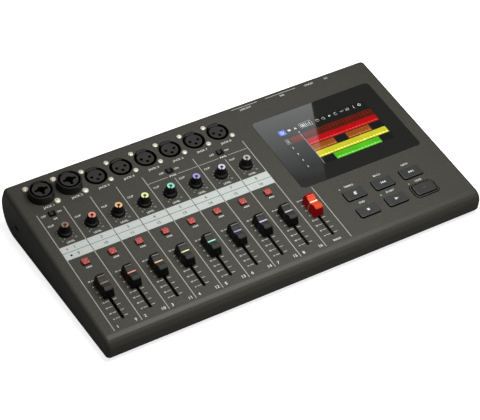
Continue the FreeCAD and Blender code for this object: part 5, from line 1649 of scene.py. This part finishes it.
@dataclass
class Screen:
    """Cover glass and the picture behind it: icons, track rows, clips and a play line."""

    left: float = 63.3
    low: float = 85.0
    width: float = 95.0
    height: float = 54.0
    first_row: float = 119.5
    row_pitch: float = 8.55
    row_height: float = 7.9
    icon_v: float = 135.8
    play_x: float = 82.2
    clips: tuple[Clip, ...] = (
        Clip(0, 69.8, 157.8, "#581606", "#360e06", 0.18),
        Clip(1, 82.4, 157.8, "#980408", "#c83a38", 0.27),
        Clip(2, 82.4, 106.8, "#7e4212", "#aa703a", 0.24),
        Clip(2, 119.5, 144.8, "#7e4212", "#aa703a", 0.24),
        Clip(3, 82.4, 157.8, "#a6a224", "#dcdc64", 0.34),
        Clip(4, 95.8, 144.8, "#429818", "#80cc58", 0.34),
    )
    blanks: tuple[tuple[int, float, float], ...] = (
        (1, 71.0, 81.0), (2, 71.0, 81.0), (3, 71.0, 81.0), (4, 71.0, 81.0),
        (2, 107.2, 119.1), (2, 145.2, 157.8), (4, 82.4, 95.4), (4, 145.2, 157.8))

    def row_low(self, row: int) -> float:
        """Lower edge of a track row, counted from the top."""
        return self.first_row - self.row_pitch * row

    def ink(self, name: str, light: str, colour: str, glow: float, height: float,
            film: float = 0.02) -> Printing:
        """Light of one colour on the screen, drawn like print.

        Args:
            name: The piece's name after "screen_".
            light: The finish's name.
            colour: Its colour.
            glow: How strongly it glows.
            height: The film's lower face.
            film: The film's thickness.

        Returns:
            The print, still empty.
        """
        return Printing("screen_" + name, ScreenLight(light, colour, glow=glow), film, height)

    def glass(self) -> None:
        """The cover glass with a ground edge, and the lit film under it."""
        rings = [(0.35, -1.8), (0.0, -1.5), (0.0, -0.22), (0.08, -0.06), (0.25, 0.0)]
        pane = stacked(rings, LAYOUT.glass_width - 0.4, LAYOUT.glass_height - 0.4, 3.8, 64)
        pane = pane.moved(LAYOUT.glass_x + LAYOUT.glass_width / 2,
                          LAYOUT.glass_v + LAYOUT.glass_height / 2, 0)
        make_piece("cover_glass", pane, Finishes.GLASS, CASE, "display_glass",
                   sharp_deg=50.0)
        film = stacked([(0, 0.0), (0, 0.012)], self.width, self.height, 0.3, 16)
        make_piece("screen_film", film.moved(self.left + self.width / 2,
                                             self.low + self.height / 2, 0), Finishes.GLASS_LIT)

    def wave(self, clip: Clip, seed: int) -> Shell:
        """A clip's sound wave: a band along the lower part of its row.

        Its height at each place is a sum of sines times a seeded random share, so it looks like
        recorded sound and is the same in every run.

        Args:
            clip: The clip.
            seed: The clip's own seed.

        Returns:
            The band as a thin plate.
        """
        x = np.arange(clip.left + 0.5, clip.right - 0.5, 0.42)
        rng = np.random.default_rng(seed)
        beat = np.abs(np.sin(x * 0.9 + seed)) ** 4 + 0.3 * np.abs(np.sin(x * 2.3 + 2 * seed))
        size = np.clip(0.18 + 1.2 * beat * rng.uniform(0.25, 1.0, len(x)), 0.12, 1.9)
        floor = self.row_low(clip.row) + 1.5
        low = np.stack([x, floor - size * 0.6], axis=1)
        high = np.stack([x, floor + size * 0.9], axis=1)
        return prism(np.concatenate([low, high[::-1]]), 0.03, 0.045)

    def rows(self) -> None:
        """The clips with their waves, the empty parts of the rows and the first row's bars."""
        for k, clip in enumerate(self.clips):
            name = "clip_%d" % (k + 1)
            place = ((clip.left + clip.right) / 2, self.row_low(clip.row) + self.row_height / 2)
            body = prism(np.array(box(clip.right - clip.left, self.row_height)) + place, 0.012, 0.03)
            make_piece(name, body, ScreenLight(name + "_light", clip.colour, glow=clip.glow))
            make_piece(name + "_wave", self.wave(clip, 7 * k + 3),
                       ScreenLight(name + "_wave_light", clip.wave, glow=clip.glow))
        grid = self.ink("rows", "row_light", "#151716", 0.02, 0.012, 0.014)
        for row, left, right in self.blanks:
            middle = self.row_low(row) + self.row_height / 2
            grid.line(left, middle, right, middle, 7.4)
        grid.build()
        bars = self.ink("bars", "bar_light", "#38100a", 0.02, 0.02)
        for x in np.arange(84.0, 157.0, 3.7):
            bars.line(x, 121.0, x, 126.8, 0.9)
        bars.build()

    def icons(self) -> None:
        """Tool icons along the top, track numbers down the side, and the play line."""
        top, play = self.icon_v, self.play_x
        cell = self.ink("cell", "cell_light", "#56544f", 0.1, 0.012)
        cell.line(64.2, self.row_low(0) + 4.0, 68.5, self.row_low(0) + 4.0, 7.2)
        cell.build()
        grey = self.ink("signs", "sign_light", "#b4b6b4", 0.22, 0.034)
        for row in range(5):
            grey.word(str(row + 1), 66.6, self.row_low(row) + 4.0, 2.2)
        grey.line(play, 85.3, play, 129.0, 0.22)
        grey.shape([(-1.0, 1.4), (0, 0), (1.0, 1.4)], play, 129.2)
        frame = (86.6, 99.2), (133.05, 139.05)
        for v in frame[1]:
            grey.line(frame[0][0], v, frame[0][1], v, 0.25)
        for x in frame[0]:
            grey.line(x, 133.0, x, 139.1, 0.25)
        grey.word("001:1", 92.9, top, 3.9, 0.85)
        grey.shape(box(3.0, 2.2), 75.0, top)
        grey.shape([(-1.6, -1.2), (1.6, -1.2), (0, 1.4)], 81.5, top)
        for x in (105.5, 112.0):
            grey.arc(x, top - 0.4, 1.5, 0.5, 0, 180)
            grey.line(x - 1.5, top - 1.5, x + 1.5, top - 1.5, 0.4)
        grey.shape([(-1.2, -1.3), (1.5, 0), (-1.2, 1.3)], 119.0, top)
        grey.arc(125.5, top, 1.4, 0.5, 40, 320)
        for k in range(3):
            grey.dot(131.0 + 1.4 * k, top, 0.45, 10)
            grey.line(137.0 + 1.4 * k, top - 1.6, 137.0 + 1.4 * k, top + 1.6, 0.45)
        grey.line(145.4, top - 1.7, 145.4, top + 1.7, 0.6)
        grey.arc(151.8, top, 1.25, 0.7, 0, 359, 30)
        grey.build()
        blue = self.ink("tool", "tool_light", "#4a66bc", 0.42, 0.014)
        blue.shape(box(6.8, 6.2), 67.6, top - 0.2)
        blue.build()
        pale = self.ink("tool_sign", "sign_on_tool", "#c8d4ff", 0.3, 0.034, 0.01)
        pale.arc(67.6, top - 0.2, 1.4, 0.5, 0, 359, 30)
        pale.build()

    def build(self) -> None:
        """Make the glass, then the picture."""
        self.glass()
        self.rows()
        self.icons()


@dataclass
class Lamps:
    """Three small indicator lamps with domed lenses and a pale chip in the middle."""

    radius: float = 1.0
    from_key: Pair = (-9.6, 10.5)
    keys: tuple[int, ...] = (0, 4, 5)
    colours: tuple[str, ...] = ("#74463f", "#46704e", "#70483c")
    chips: tuple[str, ...] = ("#b89690", "#a8c8ac", "#b09a8c")

    def build(self) -> None:
        """One lens and chip for each lamp, by the metronome, play and record keys."""
        lens = turned([(0, -10), (self.radius, -10), (self.radius, -0.05),
                       (self.radius * 0.75, 0.12), (0, 0.2)], 24, 0.1)
        chip = turned([(0, 0.1), (0.55, 0.1), (0.5, 0.22), (0, 0.24)], 16, 0.05)
        for k, (key, colour, pale) in enumerate(zip(self.keys, self.colours, self.chips), 1):
            x, v = (a + b for a, b in zip(LAYOUT.keys()[key], self.from_key))
            make_piece("lamp_%d" % k, lens.moved(x, v, 0),
                       ScreenLight("lamp_%d" % k, colour, 0.2, glow=0.35), CASE,
                       "status_leds" if k == 1 else None, sharp_deg=60.0)
            make_piece("lamp_%d_chip" % k, chip.moved(x, v, 0),
                       ScreenLight("lamp_chip_%d" % k, pale, 0.2, glow=0.35))


@dataclass
class RearFace:
    """Connectors and controls on the rear face."""

    frame: dict
    volume_place: Place = (83.5, 93.1, 27.3)

    def build(self) -> None:
        """Carry over the jacks and sliders and make the volume knob."""
        carry_over(self.frame, "rear_jacks", Finishes.JACK)
        carry_over(self.frame, "power_slider", Finishes.SLIDER, "power_slider")
        knob = turned([(0, -6.9), (3.0, -6.9), (3.0, 0.6), (6.0, 0.6), (5.45, 9.4), (5.0, 9.9),
                       (0, 9.75)], 96, 0.3, 28, 0.2, (1.2, 9.2))
        make_piece("volume_knob_grip", knob.turned_up().moved(*self.volume_place), Finishes.KNOB,
                   "volume_knob", "volume_knob", False, 50.0)
        mark = prism(box(0.8, 2.7), 9.7, 9.88).moved(0, 3.55, 0).turned_up()
        make_piece("volume_knob_mark", mark.moved(*self.volume_place), Finishes.INK,
                   "volume_knob", on_panel=False)


@dataclass
class Studio:
    """White sweep, soft overhead light and the camera."""

    eye_mm: Place = (-653.1, -1091.3, 1075.4)
    look: Place = (0.3932, 0.6586, -0.6416)
    right: Place = (0.8588, -0.5123, 0.0005)
    lens: float = 139.06
    floor_size: float = 12.0
    floor_lift: float = 0.82
    room_light: float = 0.09
    key_place: Place = (0.05, -0.14, 0.5)
    key_target: Place = (0.03, -0.02, 0)
    key_size: Pair = (0.5, 0.3)
    key_power: float = 3.7
    glare_edge: tuple[Pair, Pair] = ((113.0, 158.0), (95.0, 118.0))
    card_distance: float = 1.2
    card_size: Pair = (0.3, 0.36)
    card_power: float = 0.36

    def camera(self) -> None:
        """A long-lens camera above the front left corner."""
        data = bpy.data.cameras.new("studio_camera")
        data.lens = self.lens
        data.sensor_width = 36.0
        data.sensor_fit = "HORIZONTAL"
        data.clip_end = 20.0
        camera = put("studio_camera", data)
        back = -Vector(self.look).normalized()
        up = back.cross(Vector(self.right).normalized()).normalized()
        turn = Matrix((up.cross(back), up, back)).transposed()
        camera.matrix_world = Matrix.Translation(Vector(self.eye_mm) * MM) @ turn.to_4x4()
        bpy.context.scene.camera = camera

    def floor(self) -> None:
        """A pale floor: white where the camera sees it, darker for bounced light."""
        mesh = bpy.data.meshes.new("floor")
        mesh.from_pydata([(x, y, 0) for x, y in box(self.floor_size, self.floor_size)], [],
                         [[0, 1, 2, 3]])
        material = bpy.data.materials.new("white_sweep")
        tree = new_tree(material)
        seen = add_node(tree, "ShaderNodeLightPath").outputs["Is Camera Ray"]
        colour = add_node(tree, "ShaderNodeMix", {6: (0.27, 0.27, 0.265, 1), 7: (0.9, 0.9, 0.9, 1)},
                          {0: seen}, data_type="RGBA")
        diffuse = add_node(tree, "ShaderNodeBsdfDiffuse", links={"Color": colour.outputs[2]})
        lift = add_node(tree, "ShaderNodeMath", {1: self.floor_lift}, {0: seen},
                        operation="MULTIPLY")
        glow = add_node(tree, "ShaderNodeEmission", links={"Strength": lift.outputs["Value"]})
        both = add_node(tree, "ShaderNodeAddShader",
                        links={0: diffuse.outputs["BSDF"], 1: glow.outputs["Emission"]})
        add_node(tree, "ShaderNodeOutputMaterial", links={"Surface": both.outputs["Shader"]})
        mesh.materials.append(material)
        put("floor", mesh)

    def world(self) -> None:
        """A dim grey room whose walls are white where the camera sees them."""
        world = bpy.data.worlds.new("room")
        tree = new_tree(world)
        seen = add_node(tree, "ShaderNodeLightPath").outputs["Is Camera Ray"]
        strength = add_node(tree, "ShaderNodeMapRange", {"To Min": self.room_light, "To Max": 1.0},
                            {"Value": seen})
        back = add_node(tree, "ShaderNodeBackground", {"Color": (1, 1, 1, 1)},
                        {"Strength": strength.outputs["Result"]})
        add_node(tree, "ShaderNodeOutputWorld", links={"Surface": back.outputs["Background"]})
        bpy.context.scene.world = world

    def area(self, name: str, size: Pair, power: float) -> Object:
        """A soft rectangular light at the origin.

        Args:
            name: Its name.
            size: Width and height in metres.
            power: Power in watts.

        Returns:
            The light.
        """
        data = bpy.data.lights.new(name, "AREA")
        data.shape = "RECTANGLE"
        data.size, data.size_y = size
        data.energy = power
        return put(name, data)

    def key_light(self) -> None:
        """The light overhead, which faces its target."""
        light = self.area("key", self.key_size, self.key_power)
        light.location = self.key_place
        aim = Vector(self.key_target) - Vector(self.key_place)
        light.rotation_euler = aim.to_track_quat("-Z", "Y").to_euler()

    def glare_card(self) -> None:
        """A lit card whose mirror image ends on a slanting line across the cover glass.

        The eye is mirrored in the glass; the rays from there through both ends of the line run
        on to the card's distance, and the card's right edge lies along the two points met.
        """
        points = LAYOUT.to_world(np.array([(x, v, 0.0) for x, v in self.glare_edge]
                                          + [(0, 0, 0), (0, 0, 1000.0)]))
        top, low = (Vector(p) for p in points[:2])
        normal = Vector(points[3] - points[2]).normalized()
        eye = Vector(self.eye_mm) * MM
        mirrored = eye - 2 * (eye - top).dot(normal) * normal
        far = [p + (p - mirrored).normalized() * self.card_distance for p in (top, low)]
        facing = ((top + low) / 2 - (far[0] + far[1]) / 2).normalized()
        edge = (far[0] - far[1]).normalized()
        edge = (edge - edge.dot(facing) * facing).normalized()
        side = edge.cross(facing)
        if side.x > 0:
            side = -side
        light = self.area("glare_card", self.card_size, self.card_power)
        turn = Matrix((side, facing.cross(side) * -1, -facing)).transposed()
        light.matrix_world = Matrix.Translation(
            (far[0] + far[1]) / 2 + side * self.card_size[0] / 2) @ turn.to_4x4()
        light.data.color = (0.96, 0.98, 1.0)
        tree = new_tree(light.data)
        across = add_node(tree, "ShaderNodeSeparateXYZ", {}, {
            "Vector": add_node(tree, "ShaderNodeNewGeometry").outputs["Parametric"]})
        fade = add_node(tree, "ShaderNodeMapRange", {
            "From Min": 0.4, "From Max": 0.75, "To Min": 2.9, "To Max": 0.2},
            {"Value": across.outputs["Y"]})
        glow = add_node(tree, "ShaderNodeEmission", links={"Strength": fade.outputs["Result"]})
        add_node(tree, "ShaderNodeOutputLight", links={"Surface": glow.outputs["Emission"]})

    def build(self) -> None:
        """Set up the whole studio."""
        bpy.context.scene.view_settings.view_transform = "Standard"
        self.camera()
        self.floor()
        self.world()
        self.key_light()
        self.glare_card()


@dataclass
class Channels:
    """Faders, knobs and arm buttons of every channel, and the master fader."""

    colours: tuple[str, ...] = ("#84685a", "#cd8470", "#dcae7c", "#dadf9c", "#86cbb8", "#9290bc",
                                "#c2b8d0", "#a2a29c")
    # Deep tones of the channel colours: painted shade on each fader line's sides, and each knob's
    # dark core.
    deep_tones: tuple[str, ...] = ("#3a2410", "#4e0c05", "#4e2402", "#343c00", "#083c31", "#2c2a56",
                              "#383048", "#303230")
    master: tuple[str, str] = ("#f6e2cc", "#b8605a")

    def build(self) -> None:
        """Make them from left to right."""
        for k, (colour, core) in enumerate(zip(self.colours, self.deep_tones)):
            x = LAYOUT.channel(k)
            Fader(k + 1, colour, core).build(x, LAYOUT.fader_rest)
            GainKnob(k + 1, colour, core).build(x, LAYOUT.knob_v)
            ArmButton(k + 1).build(x, LAYOUT.arm_v)
        last = LAYOUT.channels
        Fader(last + 1, *self.master).build(LAYOUT.channel(last), LAYOUT.fader_rest)


def main() -> None:
    """Build the recorder's looks round the CAD frame."""
    logging.basicConfig(level=logging.INFO, format="%(name)s %(message)s")
    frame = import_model()
    CaseShells(frame).build()
    Channels().build()
    for sign, place in zip(KeySign, LAYOUT.keys()):
        TransportKey(sign).build(*place)
    for k in range(3):
        name = "input_slider_%d" % (k + 1)
        carry_over(frame, name, Finishes.SLIDER, name)
    InputJacks(frame).build()
    PanelPrint().build()
    Screen().build()
    Lamps().build()
    RearFace(frame).build()
    Studio().build()


if __name__ == "__main__":
    main()
